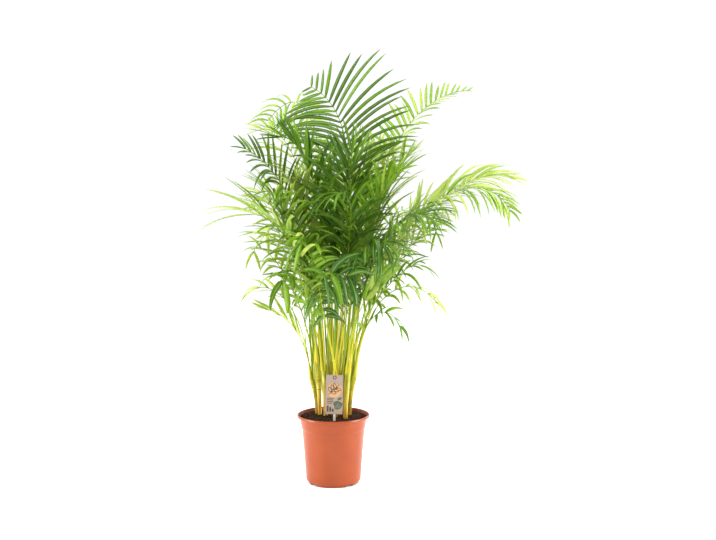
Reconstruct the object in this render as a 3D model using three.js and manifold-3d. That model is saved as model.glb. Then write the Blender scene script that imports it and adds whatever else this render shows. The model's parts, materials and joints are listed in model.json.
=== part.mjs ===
// A clumping feather palm in a round plastic nursery pot: a shell with a rolled lip and drain slots,
// potting soil, sixteen canes that stand in it, the feather fronds that spring from their tops, and a
// printed care label on a stake.
//
// Millimetres, +Z up. The origin is the centre of the pot's flat underside. -Y is the side that the
// label faces, and +X is to the right of a viewer on that side.
import * as THREE from "three";
import { mergeVertices } from "three/addons/utils/BufferGeometryUtils.js";
import Module from "manifold-3d";

const wasm = await Module();
wasm.setup();

// Driving dimensions.
const GAP = 0.3; // between pieces that touch on the real plant
const POT = {
  rimRadius: 109,
  rimTop: 4.5, // width of the flat top of the lip, with its rounded edge
  lipHeight: 9,
  lipRoot: 101.5, // outer radius just under the lip
  bandRadius: 95.5, // foot of the flared band below the lip
  bandHeight: 40, // from the rim down to the foot of the band
  shoulderRadius: 93.5, // top of the tapered body
  footRadius: 80,
  footHeight: 9,
  footStep: 1.5,
  height: 207,
  wall: 1.6,
  sides: 32,
};
const SLOT = { count: 4, turn: 40, width: 24, height: 5, inner: 66, outer: 86 };
const SOIL = {
  edgeHeight: 198,
  mound: 7,
  bump: 1.6,
  rootDepth: 62, // of the canes
  play: 0.6, // more room at the wall, for its facets
  footBevel: 6,
  rings: 4,
  sides: 24,
};
const CANE = {
  footRadius: 6.4,
  topRadius: 7.2,
  lean: 0.45, // share of its height that rises straight before it leans out
  hole: 0.7, // room round it in the soil
  sides: 7,
  steps: 4,
};
// The newest leaf of a cane, still closed: a slim spear that leaves the cane's side and stands up
// among the petioles.
const SPEAR = {
  radius: 3.4,
  tipRadius: 1,
  root: 0.45, // share of the cane's line at which it leaves
  aside: 16, // how far it steps aside
  rise: 45, // while it rises this far
  sides: 6,
  steps: 6,
};
const LABEL = {
  width: 51,
  height: 117,
  thickness: 0.9,
  corner: 3,
  eyelet: 3,
  eyeletDrop: 7.8, // from the top edge to the middle of the eyelet
  bottom: 222,
  front: -72,
  side: 4,
  lean: 1.5,
};
const STAKE = { width: 7, thickness: 1.6, top: 336, foot: 130, point: 14 };
const PETIOLE = {
  radius: 3,
  tipRadius: 1.1,
  depth: 1.4, // of its keel, as a share of its radius
  spread: 3.9, // of the petioles of one cane, from the middle of its top
  stance: 0.5, // share of its sideways run that a midrib takes on its way up from the cane
  steps: 3,
  keepOff: 1.2, // room that blades leave round it, as a share of its radius
  margin: 0.3, // pitches from either end of the leafy part to its outermost pair
};
const BLADE = {
  keel: 1.2,
  root: 9, // length of midrib that a blade grows from
  clearance: 2.6,
  lift: 26,
  limpLength: 200, // a level blade this long turns down by the frond's droop, in radians
  fullLength: 117, // shorter blades are slimmer too
  slim: 0.55,
  firmest: 0.02, // least turn, in radians
};
// Leaflet lengths along a frond: share of the longest at the first pair, where the full length is
// reached, and where the last leaflets begin to shorten.
const LEAF_GROWTH = { first: 0.66, full: 0.385, fading: 0.66 };
// How far the leaflets of one frond differ: spread and lift in degrees, size and droop as shares.
const NATURE = { spread: 4, lift: 6, size: 0.06, droop: 0.12 };
const SEEDS = { frond: 997, pair: 31, side: 7 };
// A frond's upper side faces up, in towards the middle of the plant, and a little to the label's side.
const FACE = { inward: 0.5, label: 0.25 };

// Stations along one leaflet: share of its length, and share of its full half width.
const BLADE_STATIONS = [
  [0.3, 0.96],
  [0.68, 0.82],
];

// Canes: where each leaves the soil (x, y), where its top is (x, y, z) and where its spear ends.
const CANES = [
  { foot: [-44, 34], top: [-59, 44, 358], spear: [-45, 52, 640] },
  { foot: [-40, 4], top: [-49, 0, 367], spear: [-75, 45, 640] },
  { foot: [-26, 58], top: [-32, 72, 379], spear: [-40, 58, 640] },
  { foot: [-22, -14], top: [-28, -28, 350], spear: [-14, -36, 640] },
  { foot: [-8, 36], top: [-10, 39, 392], spear: [-36, 84, 640] },
  { foot: [2, 68], top: [2, 92, 375], spear: [-8, 89, 580] },
  { foot: [4, 6], top: [6, -3, 371], spear: [6, -25, 640] },
  { foot: [16, 44], top: [22, 52, 396], spear: [48, 97, 640] },
  { foot: [36, -46], top: [44, -54, 346], spear: [64, -19, 640] },
  { foot: [28, 66], top: [40, 87, 367], spear: [5, 67, 640] },
  { foot: [42, 24], top: [56, 25, 367], spear: [82, -20, 580] },
  { foot: [46, 50], top: [67, 62, 350], spear: [67, 92, 640] },
  { foot: [-46, 56], top: [-54, 88, 354], spear: [-33, 109, 580] },
  { foot: [6, -34], top: [9, -48, 337], spear: [61, -48, 640] },
  { foot: [-47, 19], top: [-68, 22, 315], spear: [-77, 27, 640] },
  { foot: [47, 6], top: [65, -3, 325] },
];

// Fronds: the cane that each springs from, where its midrib is half way and where it ends, its pairs
// of leaflets, the longest leaflet and its width, the share of the midrib that is bare stalk, the angle
// between midrib and leaflets at the foot and at the tip, how limp the leaflets are, the share by which
// the last are shorter, and, for a frond that faces its own way, the way its upper side faces.
const FRONDS = [
  { cane: 7, half: [47, 47, 921], tip: [-64, 56, 1176], pairs: 10, leaf: 245, width: 15,
    bare: 0.58, spread: [50, 66], droop: 0.9, taper: 0.84, face: [0.1, -1, 0.15] },
  { cane: 4, half: [-52, 102, 1035], tip: [-196, 110, 1078], pairs: 10, leaf: 118, width: 12,
    bare: 0.53, spread: [84, 70], droop: 4, taper: 0.4 },
  { cane: 1, half: [-101, -39, 787], tip: [-246, -90, 997], pairs: 10, leaf: 150, width: 14,
    bare: 0.37, spread: [50, 34], droop: 2, taper: 0.6, face: [0.2, -0.5, 1] },
  { cane: 3, half: [-109, -99, 703], tip: [-226, -150, 814], pairs: 8, leaf: 225, width: 16,
    bare: 0.4, spread: [50, 20], droop: 0.9, taper: 0.25 },
  { cane: 0, half: [-120, 87, 674], tip: [-190, 120, 750], pairs: 5, leaf: 150, width: 15,
    bare: 0.39, spread: [50, 40], droop: 2, taper: 0.5 },
  { cane: 0, half: [-160, 43, 645], tip: [-236, 44, 690], pairs: 5, leaf: 130, width: 16,
    bare: 0.39, spread: [56, 40], droop: 2.4, taper: 0.5 },
  { cane: 3, half: [-90, -96, 590], tip: [-140, -150, 625], pairs: 4, leaf: 120, width: 28,
    bare: 0.5, spread: [60, 40], droop: 4, taper: 0.2 },
  { cane: 14, half: [-108, -2, 455], tip: [-188, -16, 522], pairs: 4, leaf: 120, width: 20,
    bare: 0.32, spread: [26, 10], droop: 0.8, taper: 0.5 },
  { cane: 14, half: [-138, 30, 540], tip: [-246, 44, 572], pairs: 3, leaf: 80, width: 16,
    bare: 0.62, spread: [40, 16], droop: 3, taper: 0.4 },
  { cane: 9, half: [166, 151, 965], tip: [408, 196, 1168], pairs: 13, leaf: 125, width: 14,
    bare: 0.42, spread: [62, 50], droop: 1.3, taper: 0.8 },
  { cane: 11, half: [281, 91, 806], tip: [538, 100, 906], pairs: 13, leaf: 170, width: 12,
    bare: 0.31, spread: [40, 26], droop: 1.7, taper: 0.7 },
  { cane: 10, half: [280, -34, 829], tip: [505, -120, 824], pairs: 13, leaf: 165, width: 12,
    bare: 0.31, spread: [46, 40], droop: 2.4, taper: 0.7 },
  { cane: 8, half: [154, -116, 737], tip: [288, -196, 800], pairs: 10, leaf: 185, width: 12,
    bare: 0.32, spread: [46, 34], droop: 1.8, taper: 0.6 },
  { cane: 11, half: [210, 50, 683], tip: [304, 30, 750], pairs: 7, leaf: 160, width: 12,
    bare: 0.37, spread: [46, 30], droop: 1.8, taper: 0.6 },
  { cane: 8, half: [160, -80, 602], tip: [252, -96, 664], pairs: 5, leaf: 150, width: 16,
    bare: 0.34, spread: [50, 36], droop: 2.6, taper: 0.5 },
  { cane: 15, half: [164, 14, 566], tip: [306, 28, 540], pairs: 4, leaf: 95, width: 18,
    bare: 0.52, spread: [60, 30], droop: 4, taper: 0.3 },
  { cane: 15, half: [120, -50, 508], tip: [196, -70, 484], pairs: 3, leaf: 80, width: 19,
    bare: 0.5, spread: [60, 30], droop: 4, taper: 0.3 },
  { cane: 8, half: [70, -82, 508], tip: [130, -132, 622], pairs: 3, leaf: 108, width: 35,
    bare: 0.76, spread: [16, 8], droop: 0.1, taper: 0.1, face: [0.3, -1, 0.2] },
  { cane: 6, half: [-48, -77, 877], tip: [-148, -130, 1030], pairs: 10, leaf: 190, width: 12,
    bare: 0.38, spread: [34, 20], droop: 0.7, taper: 0.6 },
  { cane: 10, half: [144, 62, 820], tip: [222, 70, 970], pairs: 9, leaf: 195, width: 12,
    bare: 0.39, spread: [40, 26], droop: 0.8, taper: 0.6 },
  { cane: 6, half: [38, -93, 822], tip: [56, -160, 1000], pairs: 9, leaf: 185, width: 12,
    bare: 0.38, spread: [44, 14], droop: 0.5, taper: 0.5 },
  { cane: 13, half: [51, -125, 770], tip: [0, -220, 870], pairs: 9, leaf: 160, width: 12,
    bare: 0.4, spread: [34, 20], droop: 2.4, taper: 0.4 },
  { cane: 3, half: [-52, -121, 665], tip: [-84, -196, 740], pairs: 5, leaf: 165, width: 22,
    bare: 0.48, spread: [30, 18], droop: 3, taper: 0.4 },
  { cane: 13, half: [92, -137, 675], tip: [140, -230, 720], pairs: 7, leaf: 165, width: 19,
    bare: 0.43, spread: [34, 22], droop: 3.2, taper: 0.4 },
  { cane: 13, half: [-34, -178, 598], tip: [46, -230, 648], pairs: 5, leaf: 118, width: 28,
    bare: 0.46, spread: [80, 60], droop: 4, taper: 0.2, face: [0.2, -1, 0.35] },
  { cane: 5, half: [-22, 277, 814], tip: [-50, 420, 880], pairs: 9, leaf: 190, width: 16,
    bare: 0.4, spread: [40, 26], droop: 0.9, taper: 0.8 },
  { cane: 12, half: [-140, 232, 676], tip: [-220, 330, 720], pairs: 7, leaf: 170, width: 16,
    bare: 0.34, spread: [50, 40], droop: 1.6, taper: 0.8 },
  { cane: 9, half: [149, 267, 726], tip: [230, 380, 770], pairs: 7, leaf: 175, width: 16,
    bare: 0.38, spread: [50, 40], droop: 1.6, taper: 0.8 },
  { cane: 2, half: [-98, 157, 900], tip: [-220, 230, 1050], pairs: 9, leaf: 180, width: 12,
    bare: 0.42, spread: [50, 36], droop: 1.3, taper: 0.6 },
  { cane: 5, half: [32, 255, 665], tip: [54, 370, 690], pairs: 5, leaf: 140, width: 18,
    bare: 0.48, spread: [50, 40], droop: 2.4, taper: 0.8 },
  { cane: 12, half: [-82, 200, 622], tip: [-112, 290, 652], pairs: 4, leaf: 120, width: 19,
    bare: 0.49, spread: [50, 40], droop: 2.6, taper: 0.8 },
  { cane: 9, half: [132, 187, 648], tip: [220, 250, 670], pairs: 5, leaf: 130, width: 19,
    bare: 0.49, spread: [50, 40], droop: 2.6, taper: 0.8 },
  { cane: 2, half: [-149, 104, 777], tip: [-230, 110, 850], pairs: 7, leaf: 170, width: 15,
    bare: 0.43, spread: [46, 34], droop: 1.6, taper: 0.6 },
  { cane: 4, half: [-70, -9, 772], tip: [-116, -110, 900], pairs: 8, leaf: 180, width: 12,
    bare: 0.41, spread: [30, 14], droop: 0.9, taper: 0.5 },
  { cane: 7, half: [91, 134, 858], tip: [150, 190, 1000], pairs: 9, leaf: 180, width: 12,
    bare: 0.42, spread: [44, 28], droop: 0.9, taper: 0.6 },
  { cane: 1, half: [-118, -92, 766], tip: [-168, -186, 876], pairs: 8, leaf: 180, width: 12,
    bare: 0.37, spread: [40, 26], droop: 1.6, taper: 0.5 },
  { cane: 10, half: [117, -61, 790], tip: [180, -150, 930], pairs: 9, leaf: 185, width: 12,
    bare: 0.39, spread: [34, 16], droop: 1, taper: 0.5 },
];

const COLOURS = {
  pot: new THREE.MeshStandardMaterial({ color: "#dd7d57", roughness: 0.45, metalness: 0 }),
  soil: new THREE.MeshStandardMaterial({ color: "#3a2a20", roughness: 0.95, metalness: 0 }),
  cane: new THREE.MeshStandardMaterial({ color: "#c3bf3c", roughness: 0.5, metalness: 0 }),
  frond: new THREE.MeshStandardMaterial({ color: "#4f8a1e", roughness: 0.45, metalness: 0 }),
  label: new THREE.MeshStandardMaterial({ color: "#d9c6b4", roughness: 0.5, metalness: 0 }),
  stake: new THREE.MeshStandardMaterial({ color: "#efe9dc", roughness: 0.5, metalness: 0 }),
};

const UP = new THREE.Vector3(0, 0, 1);
const vector = (list) => new THREE.Vector3(...list);
const degrees = THREE.MathUtils.degToRad;

// A three.js geometry as a solid that can be joined or cut.
function solidOf(geometry) {
  const bare = geometry.clone();
  bare.deleteAttribute("normal");
  bare.deleteAttribute("uv");
  const merged = mergeVertices(bare, 1e-3);
  return new wasm.Manifold(
    new wasm.Mesh({
      numProp: 3,
      vertProperties: merged.attributes.position.array,
      triVerts: new Uint32Array(merged.index.array),
    }),
  );
}

function geometryOf(solid) {
  const mesh = solid.getMesh();
  const geometry = new THREE.BufferGeometry();
  geometry.setAttribute("position", new THREE.BufferAttribute(mesh.vertProperties, 3));
  geometry.setIndex(new THREE.BufferAttribute(mesh.triVerts, 1));
  geometry.computeVertexNormals();
  return geometry;
}

// A closed mesh put together from its corners and triangles.
class Shell {
  corners = [];
  faces = [];

  add(point) {
    return this.corners.push(point.clone()) - 1;
  }

  quad(a, b, c, d) {
    this.faces.push(a, b, c, a, c, d);
  }

  geometry() {
    const geometry = new THREE.BufferGeometry().setFromPoints(this.corners);
    geometry.setIndex(this.faces);
    geometry.computeVertexNormals();
    return geometry;
  }
}

// A round upright solid from the outline of its half section, turned about Z.
function turned(outline, sides) {
  const points = outline.map(([radius, height]) => new THREE.Vector2(radius, height));
  return new THREE.LatheGeometry(points, sides).rotateX(Math.PI / 2);
}

// Outer half section of the pot from the underside to the rim, as [radius, height].
function potSection() {
  const { height, bandHeight, lipHeight } = POT;
  return [
    [POT.footRadius - 8, 0],
    [POT.footRadius - 4.5, 0.8],
    [POT.footRadius - 0.3, POT.footHeight],
    [POT.footRadius + POT.footStep, POT.footHeight + 2],
    [POT.shoulderRadius, height - bandHeight - 3],
    [POT.bandRadius, height - bandHeight],
    [POT.lipRoot - 2, height - lipHeight - 6],
    [POT.lipRoot, height - lipHeight],
    [POT.rimRadius - 1, height - lipHeight + 1.4],
    [POT.rimRadius, height - lipHeight / 2],
    [POT.rimRadius - 1.5, height],
  ];
}

// Inner radius of the pot's wall at a height under the lip.
function innerRadius(height) {
  const section = potSection();
  const above = section.findIndex(([, level]) => level > height);
  const [lowRadius, low] = section[above - 1];
  const [highRadius, high] = section[above];
  const radius = THREE.MathUtils.mapLinear(height, low, high, lowRadius, highRadius);
  return radius - POT.wall;
}

function makePot() {
  const outer = potSection();
  const top = POT.height - POT.lipHeight;
  const heights = [top - 8, POT.height - POT.bandHeight, POT.footHeight + 3, POT.wall];
  const inner = heights.map((z) => [innerRadius(z), z]);
  const lipHollow = [innerRadius(top - 1) + 2.5, top + 3];
  const outline = [
    [0, 0],
    ...outer,
    [POT.rimRadius - POT.rimTop, POT.height],
    lipHollow,
    ...inner,
    [0, POT.wall],
  ];
  let shell = solidOf(turned(outline, POT.sides));
  for (let i = 0; i < SLOT.count; i += 1) {
    const slot = new THREE.BoxGeometry(SLOT.outer - SLOT.inner, SLOT.width, SLOT.height * 2)
      .translate((SLOT.outer + SLOT.inner) / 2, 0, 0)
      .rotateZ(degrees(SLOT.turn + (i * 360) / SLOT.count));
    shell = shell.subtract(solidOf(slot));
  }
  return geometryOf(shell);
}

// Height of the soil over a point: a low mound with clods, a little lower round the wall.
function soilHeight(x, y) {
  const reach = Math.min(1, Math.hypot(x, y) / innerRadius(SOIL.edgeHeight));
  const mound = SOIL.mound * (1 - reach ** 2);
  const clods =
    Math.sin(x * 0.19 + 1.3) * Math.cos(y * 0.23) + 0.6 * Math.sin(x * 0.41 - y * 0.37 + 2.1);
  return SOIL.edgeHeight + mound + SOIL.bump * clods * (1 - reach ** 6);
}

function makeSoil(holes) {
  const floor = POT.wall + GAP;
  const foot = innerRadius(POT.footHeight) - 2 - GAP;
  const shoulder = POT.height - POT.bandHeight - 4;
  const reach = (height) => innerRadius(height) - GAP - SOIL.play;
  const top = reach(SOIL.edgeHeight);
  const wall = [
    [0, floor],
    [foot - SOIL.footBevel, floor],
    [reach(POT.footHeight + 4), POT.footHeight + 4],
    [reach(shoulder), shoulder],
    [top, SOIL.edgeHeight],
  ];
  const rings = Array.from({ length: SOIL.rings }, (_, i) => {
    const share = 1 - (i + 1) / SOIL.rings;
    return [top * share, SOIL.edgeHeight + 1];
  });
  const geometry = turned([...wall, ...rings], SOIL.sides);
  const places = geometry.attributes.position;
  for (let i = 0; i < places.count; i += 1) {
    if (places.getZ(i) > SOIL.edgeHeight + 0.5) {
      places.setZ(i, soilHeight(places.getX(i), places.getY(i)));
    }
  }
  return geometryOf(holes.reduce((soil, hole) => soil.subtract(hole), solidOf(geometry)));
}

// The middle line of a cane: straight up out of the soil, then leaning gently outward.
function caneLine({ foot, top }) {
  const surface = soilHeight(...foot);
  const lean = (top[2] - surface) * CANE.lean;
  return new THREE.CubicBezierCurve3(
    new THREE.Vector3(...foot, surface - SOIL.rootDepth),
    new THREE.Vector3(...foot, surface),
    new THREE.Vector3(foot[0], foot[1], surface + lean),
    vector(top),
  );
}

// A many-sided rod along a line, with its radius from radiusAt(share of its length) and level ends.
function rod(line, sides, steps, radiusAt) {
  const shell = new Shell();
  const rings = Array.from({ length: steps + 1 }, (_, step) => {
    const share = step / steps;
    const centre = line.getPoint(share);
    const along = share > 0 && share < 1 ? line.getTangent(share) : UP;
    const side = new THREE.Vector3(1, 0, 0).cross(along).normalize();
    const front = new THREE.Vector3().crossVectors(along, side);
    return Array.from({ length: sides }, (_unused, corner) => {
      const turn = (corner * 2 * Math.PI) / sides;
      const out = side.clone().multiplyScalar(Math.cos(turn)).addScaledVector(front, Math.sin(turn));
      return shell.add(centre.clone().addScaledVector(out, radiusAt(share)));
    });
  });
  for (let step = 0; step < steps; step += 1) {
    for (let corner = 0; corner < sides; corner += 1) {
      const next = (corner + 1) % sides;
      const [low, high] = [rings[step], rings[step + 1]];
      shell.quad(low[corner], low[next], high[next], high[corner]);
    }
  }
  for (let corner = 1; corner < sides - 1; corner += 1) {
    shell.faces.push(rings[0][0], rings[0][corner + 1], rings[0][corner]);
    shell.faces.push(rings[steps][0], rings[steps][corner], rings[steps][corner + 1]);
  }
  return shell.geometry();
}

// A cane swells a little towards its top, where the petioles leave it, and a spear ends in a point.
const caneRadius = (share) => THREE.MathUtils.lerp(CANE.footRadius, CANE.topRadius, share);
const spearRadius = (share) => THREE.MathUtils.lerp(SPEAR.radius, SPEAR.tipRadius, share ** 2);

function spearLine(cane) {
  const root = caneLine(cane).getPoint(SPEAR.root);
  const tip = vector(cane.spear);
  const aside = new THREE.Vector3(tip.x - root.x, tip.y - root.y, 0).setLength(SPEAR.aside);
  const low = root.clone().add(aside).addScaledVector(UP, SPEAR.rise);
  return new THREE.CubicBezierCurve3(root, low, low.clone().lerp(tip, 0.5), tip);
}

// A cane and the spear that grows out of it, as one body.
function makeCane(cane) {
  const stem = rod(caneLine(cane), CANE.sides, CANE.steps, caneRadius);
  if (!cane.spear) return stem;
  const spear = rod(spearLine(cane), SPEAR.sides, SPEAR.steps, spearRadius);
  return geometryOf(solidOf(stem).add(solidOf(spear)));
}

// The plain hole in the soil that a cane stands in.
function caneHole(cane) {
  const line = caneLine(cane);
  const depth = soilHeight(...cane.foot) - SOIL.rootDepth;
  const below = new THREE.Vector3(...cane.foot, depth - GAP);
  const hole = new THREE.CubicBezierCurve3(below, line.v1, line.v2, line.v3);
  return solidOf(rod(hole, CANE.sides, CANE.steps, (share) => caneRadius(share) + CANE.hole));
}

const headingOf = ({ cane, tip }) =>
  Math.atan2(tip[1] - CANES[cane].top[1], tip[0] - CANES[cane].top[0]);

// Where a frond stands on the top of its cane: the fronds of one cane share its rim evenly, in the
// order of their headings, turned together so that each leaves on its own side.
function petioleFoot(frond) {
  const { top } = CANES[frond.cane];
  const mates = FRONDS.filter(({ cane }) => cane === frond.cane);
  mates.sort((a, b) => headingOf(a) - headingOf(b));
  const step = (2 * Math.PI) / mates.length;
  const pull = new THREE.Vector2();
  mates.forEach((mate, i) => {
    const turn = headingOf(mate) - i * step;
    pull.add(new THREE.Vector2(Math.cos(turn), Math.sin(turn)));
  });
  const turn = pull.angle() + mates.indexOf(frond) * step;
  const spread = mates.length > 1 ? PETIOLE.spread : 0;
  return new THREE.Vector3(
    top[0] + spread * Math.cos(turn),
    top[1] + spread * Math.sin(turn),
    top[2] + GAP,
  );
}

// The middle line of a midrib: it leaves its cane nearly upright and passes its half-way point.
function midribLine(frond) {
  const foot = petioleFoot(frond);
  const [half, tip] = [vector(frond.half), vector(frond.tip)];
  const run = half.clone().multiplyScalar(4).addScaledVector(foot, -3).sub(tip).divideScalar(3);
  const low = foot.clone().add(run.multiply(vector([PETIOLE.stance, PETIOLE.stance, 1])));
  const high = half.multiplyScalar(8).sub(foot).addScaledVector(low, -3).sub(tip).divideScalar(3);
  return new THREE.CubicBezierCurve3(foot, low, high, tip);
}

// The midrib of a frond: its line, and at any share of it the way along, the upper side and the right.
class Midrib {
  constructor(frond) {
    this.frond = frond;
    this.line = midribLine(frond);
    const inward = new THREE.Vector3(-frond.tip[0], -frond.tip[1], 0).setLength(FACE.inward);
    this.face = frond.face ? vector(frond.face) : inward.add(UP).add(vector([0, -FACE.label, 0]));
    this.pitch = (1 - frond.bare) / (frond.pairs - 1 + 2 * PETIOLE.margin);
    this.rootShare = Math.min(0.5 * this.pitch, BLADE.root / this.line.getLength());
  }

  // Shares of the line at which its section is drawn: the stalk, then both ends of each pair's roots.
  shares() {
    const { bare, pairs } = this.frond;
    const stalk = Array.from({ length: PETIOLE.steps }, (_, i) => (i * bare) / PETIOLE.steps);
    const roots = Array.from({ length: pairs }, (_, pair) => {
      const share = this.pairShare(pair);
      return [share - this.rootShare / 2, share + this.rootShare / 2];
    });
    return [...stalk, ...roots.flat(), 1];
  }

  pairShare(pair) {
    return this.frond.bare + this.pitch * (pair + PETIOLE.margin);
  }

  radius(share) {
    return THREE.MathUtils.lerp(PETIOLE.radius, PETIOLE.tipRadius, Math.sqrt(share));
  }

  // The foot's section lies level, on the top of the cane.
  at(share) {
    const along = share > 0 ? this.line.getTangentAt(share) : UP;
    const upper = this.face.clone().addScaledVector(along, -this.face.dot(along)).normalize();
    const right = new THREE.Vector3().crossVectors(along, upper);
    return { share, centre: this.line.getPointAt(share), along, upper, right };
  }

  // Straight stretches of the midrib with their radius, for keeping blades clear of it.
  stretches() {
    const shares = this.shares();
    return shares.slice(1).map((to, i) => ({
      stretch: new THREE.Line3(this.line.getPointAt(shares[i]), this.line.getPointAt(to)),
      radius: this.radius(shares[i]) * PETIOLE.keepOff,
    }));
  }
}

// Share of the longest leaflet's length at a share of the leafy part: it soon reaches its full length,
// and the last leaflets are shorter again.
function leafShare(share, taper) {
  const { first, full, fading } = LEAF_GROWTH;
  const grown = Math.sin(Math.min(1, share / full) * (Math.PI / 2));
  const kept = 1 - taper * THREE.MathUtils.smoothstep(share, fading, 1);
  return THREE.MathUtils.lerp(first, 1, grown) * kept;
}

// One leaflet as a blade that bends down in an arc, the more the longer and the more level it is.
function bladeOf(midrib, place, side, swing, shorten) {
  const { frond } = midrib;
  const leafy = (place.share - frond.bare) / (1 - frond.bare);
  const angle = degrees(THREE.MathUtils.lerp(...frond.spread, leafy ** 3) + swing.spread);
  const lift = degrees(BLADE.lift + swing.lift);
  const length = frond.leaf * leafShare(leafy, frond.taper) * shorten * swing.size;
  const outward = place.right
    .clone()
    .multiplyScalar(side * Math.cos(lift))
    .addScaledVector(place.upper, Math.sin(lift));
  const heading = place.along
    .clone()
    .multiplyScalar(Math.cos(angle))
    .addScaledVector(outward, Math.sin(angle));
  const across = place.along
    .clone()
    .addScaledVector(heading, -heading.dot(place.along))
    .normalize();
  const root = place.centre.clone().addScaledVector(place.right, side * midrib.radius(place.share));
  const hang = heading.clone().multiplyScalar(heading.z).sub(UP);
  const fall = hang.clone().normalize();
  const limp = frond.droop * swing.droop * (length / BLADE.limpLength) * hang.length();
  const turn = THREE.MathUtils.clamp(limp, BLADE.firmest, Math.acos(-heading.z));
  const pointAt = (share) =>
    root
      .clone()
      .addScaledVector(heading, (length / turn) * Math.sin(turn * share))
      .addScaledVector(fall, (length / turn) * (1 - Math.cos(turn * share)));
  const underSide = heading.clone().cross(across).dot(place.upper) > 0 ? -1 : 1;
  const slimness = THREE.MathUtils.lerp(BLADE.slim, 1, Math.min(1, length / BLADE.fullLength));
  const stations = BLADE_STATIONS.map(([share, wide]) => {
    const middle = pointAt(share);
    const slope = heading
      .clone()
      .multiplyScalar(Math.cos(turn * share))
      .addScaledVector(fall, Math.sin(turn * share));
    const under = slope.cross(across).multiplyScalar(underSide);
    const half = (frond.width / 2) * wide * slimness;
    return {
      near: middle.clone().addScaledVector(across, -half),
      far: middle.clone().addScaledVector(across, half),
      keel: middle.clone().addScaledVector(under, BLADE.keel),
    };
  });
  return { root, tip: pointAt(1), stations };
}

// The upper side of a blade as triangles, the one by its root first.
function bladeTriangles({ root, stations, tip }) {
  const triangles = [new THREE.Triangle(root, stations[0].near, stations[0].far)];
  stations.slice(1).forEach((high, i) => {
    const low = stations[i];
    triangles.push(new THREE.Triangle(low.near, low.far, high.far));
    triangles.push(new THREE.Triangle(low.near, high.far, high.near));
  });
  const last = stations.at(-1);
  triangles.push(new THREE.Triangle(last.near, last.far, tip));
  return triangles;
}

const EDGES = [
  ["a", "b"],
  ["b", "c"],
  ["c", "a"],
];
const edgesOf = (triangle) =>
  EDGES.map(([from, to]) => new THREE.Line3(triangle[from], triangle[to]));

// Whether a straight line comes nearer than a distance to a triangle.
function lineNear(line, triangle, edges, distance) {
  const span = line.delta(new THREE.Vector3());
  const ray = new THREE.Ray(line.start, span.clone().normalize());
  const hit = ray.intersectTriangle(
    triangle.a,
    triangle.b,
    triangle.c,
    false,
    new THREE.Vector3(),
  );
  if (hit && hit.distanceTo(line.start) < span.length()) return true;
  if (edges.some((edge) => edge.distanceSqToLine3(line) < distance ** 2)) return true;
  return [line.start, line.end].some((end) => {
    const nearest = triangle.closestPointToPoint(end, new THREE.Vector3());
    return nearest.distanceToSquared(end) < distance ** 2;
  });
}

// Everything that a new blade has to stay clear of: blades and midribs that already have their place.
class Thicket {
  blades = [];
  midribs = [];

  static patch(triangle, frond) {
    const points = [triangle.a, triangle.b, triangle.c];
    return {
      triangle,
      frond,
      edges: edgesOf(triangle),
      box: new THREE.Box3().setFromPoints(points).expandByScalar(BLADE.clearance / 2),
    };
  }

  addMidrib(stretches, frond) {
    stretches.forEach(({ stretch, radius }) => {
      const box = new THREE.Box3().setFromPoints([stretch.start, stretch.end]);
      this.midribs.push({ stretch, radius, frond, box: box.expandByScalar(radius) });
    });
  }

  addBlade(blade, frond) {
    const patches = bladeTriangles(blade).map((t) => Thicket.patch(t, frond));
    patches.forEach((patch, i) => {
      patch.byRoot = i === 0;
    });
    this.blades.push(...patches);
  }

  isClear(blade, frond) {
    const patches = bladeTriangles(blade).map((t) => Thicket.patch(t, frond));
    return patches.every((patch, i) => {
      const byRoot = i === 0;
      const meetsRib = this.midribs.some(
        (rib) =>
          !(byRoot && rib.frond === frond) &&
          rib.box.intersectsBox(patch.box) &&
          lineNear(rib.stretch, patch.triangle, patch.edges, rib.radius + BLADE.clearance / 2),
      );
      if (meetsRib) return false;
      return !this.blades.some(
        (other) =>
          !(other.frond === frond && (byRoot || other.byRoot)) &&
          other.box.intersectsBox(patch.box) &&
          (patch.edges.some((e) => lineNear(e, other.triangle, other.edges, BLADE.clearance)) ||
            other.edges.some((e) => lineNear(e, patch.triangle, patch.edges, BLADE.clearance))),
      );
    });
  }
}

// Ways to swing a blade that would cross another, the smallest first: [spread, lift] in degrees.
const SWINGS = [0, -7, 7, -14, 14, -21, 21]
  .flatMap((spread) => [0, -8, 8, -16, 16, -26].map((lift) => [spread, lift]))
  .sort((a, b) => Math.hypot(...a) - Math.hypot(...b));

// The smallest swing, or at last the shorter length, with which a blade is clear of the others.
function clearBlade(midrib, thicket, index, pair, side) {
  const seed = index * SEEDS.frond + pair * SEEDS.pair + side * SEEDS.side;
  const draw = (n) => 2 * THREE.MathUtils.seededRandom(seed + n) - 1;
  const nature = {
    spread: NATURE.spread * draw(1),
    lift: NATURE.lift * draw(2),
    size: 1 + NATURE.size * draw(3),
    droop: 1 + NATURE.droop * draw(4),
  };
  const place = midrib.at(midrib.pairShare(pair));
  for (const shorten of [1, 0.8, 0.6, 0.4]) {
    for (const [spread, lift] of SWINGS) {
      const swing = { ...nature, spread: nature.spread + spread, lift: nature.lift + lift };
      const blade = bladeOf(midrib, place, side, swing, shorten);
      if (thicket.isClear(blade, index)) return blade;
    }
  }
  return null;
}

function placeBlades(midrib, thicket, index) {
  return Array.from({ length: midrib.frond.pairs }, (_, pair) =>
    [-1, 1].map((side) => {
      const blade = clearBlade(midrib, thicket, index, pair, side);
      if (blade) thicket.addBlade(blade, index);
      return blade;
    }),
  );
}

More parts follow.
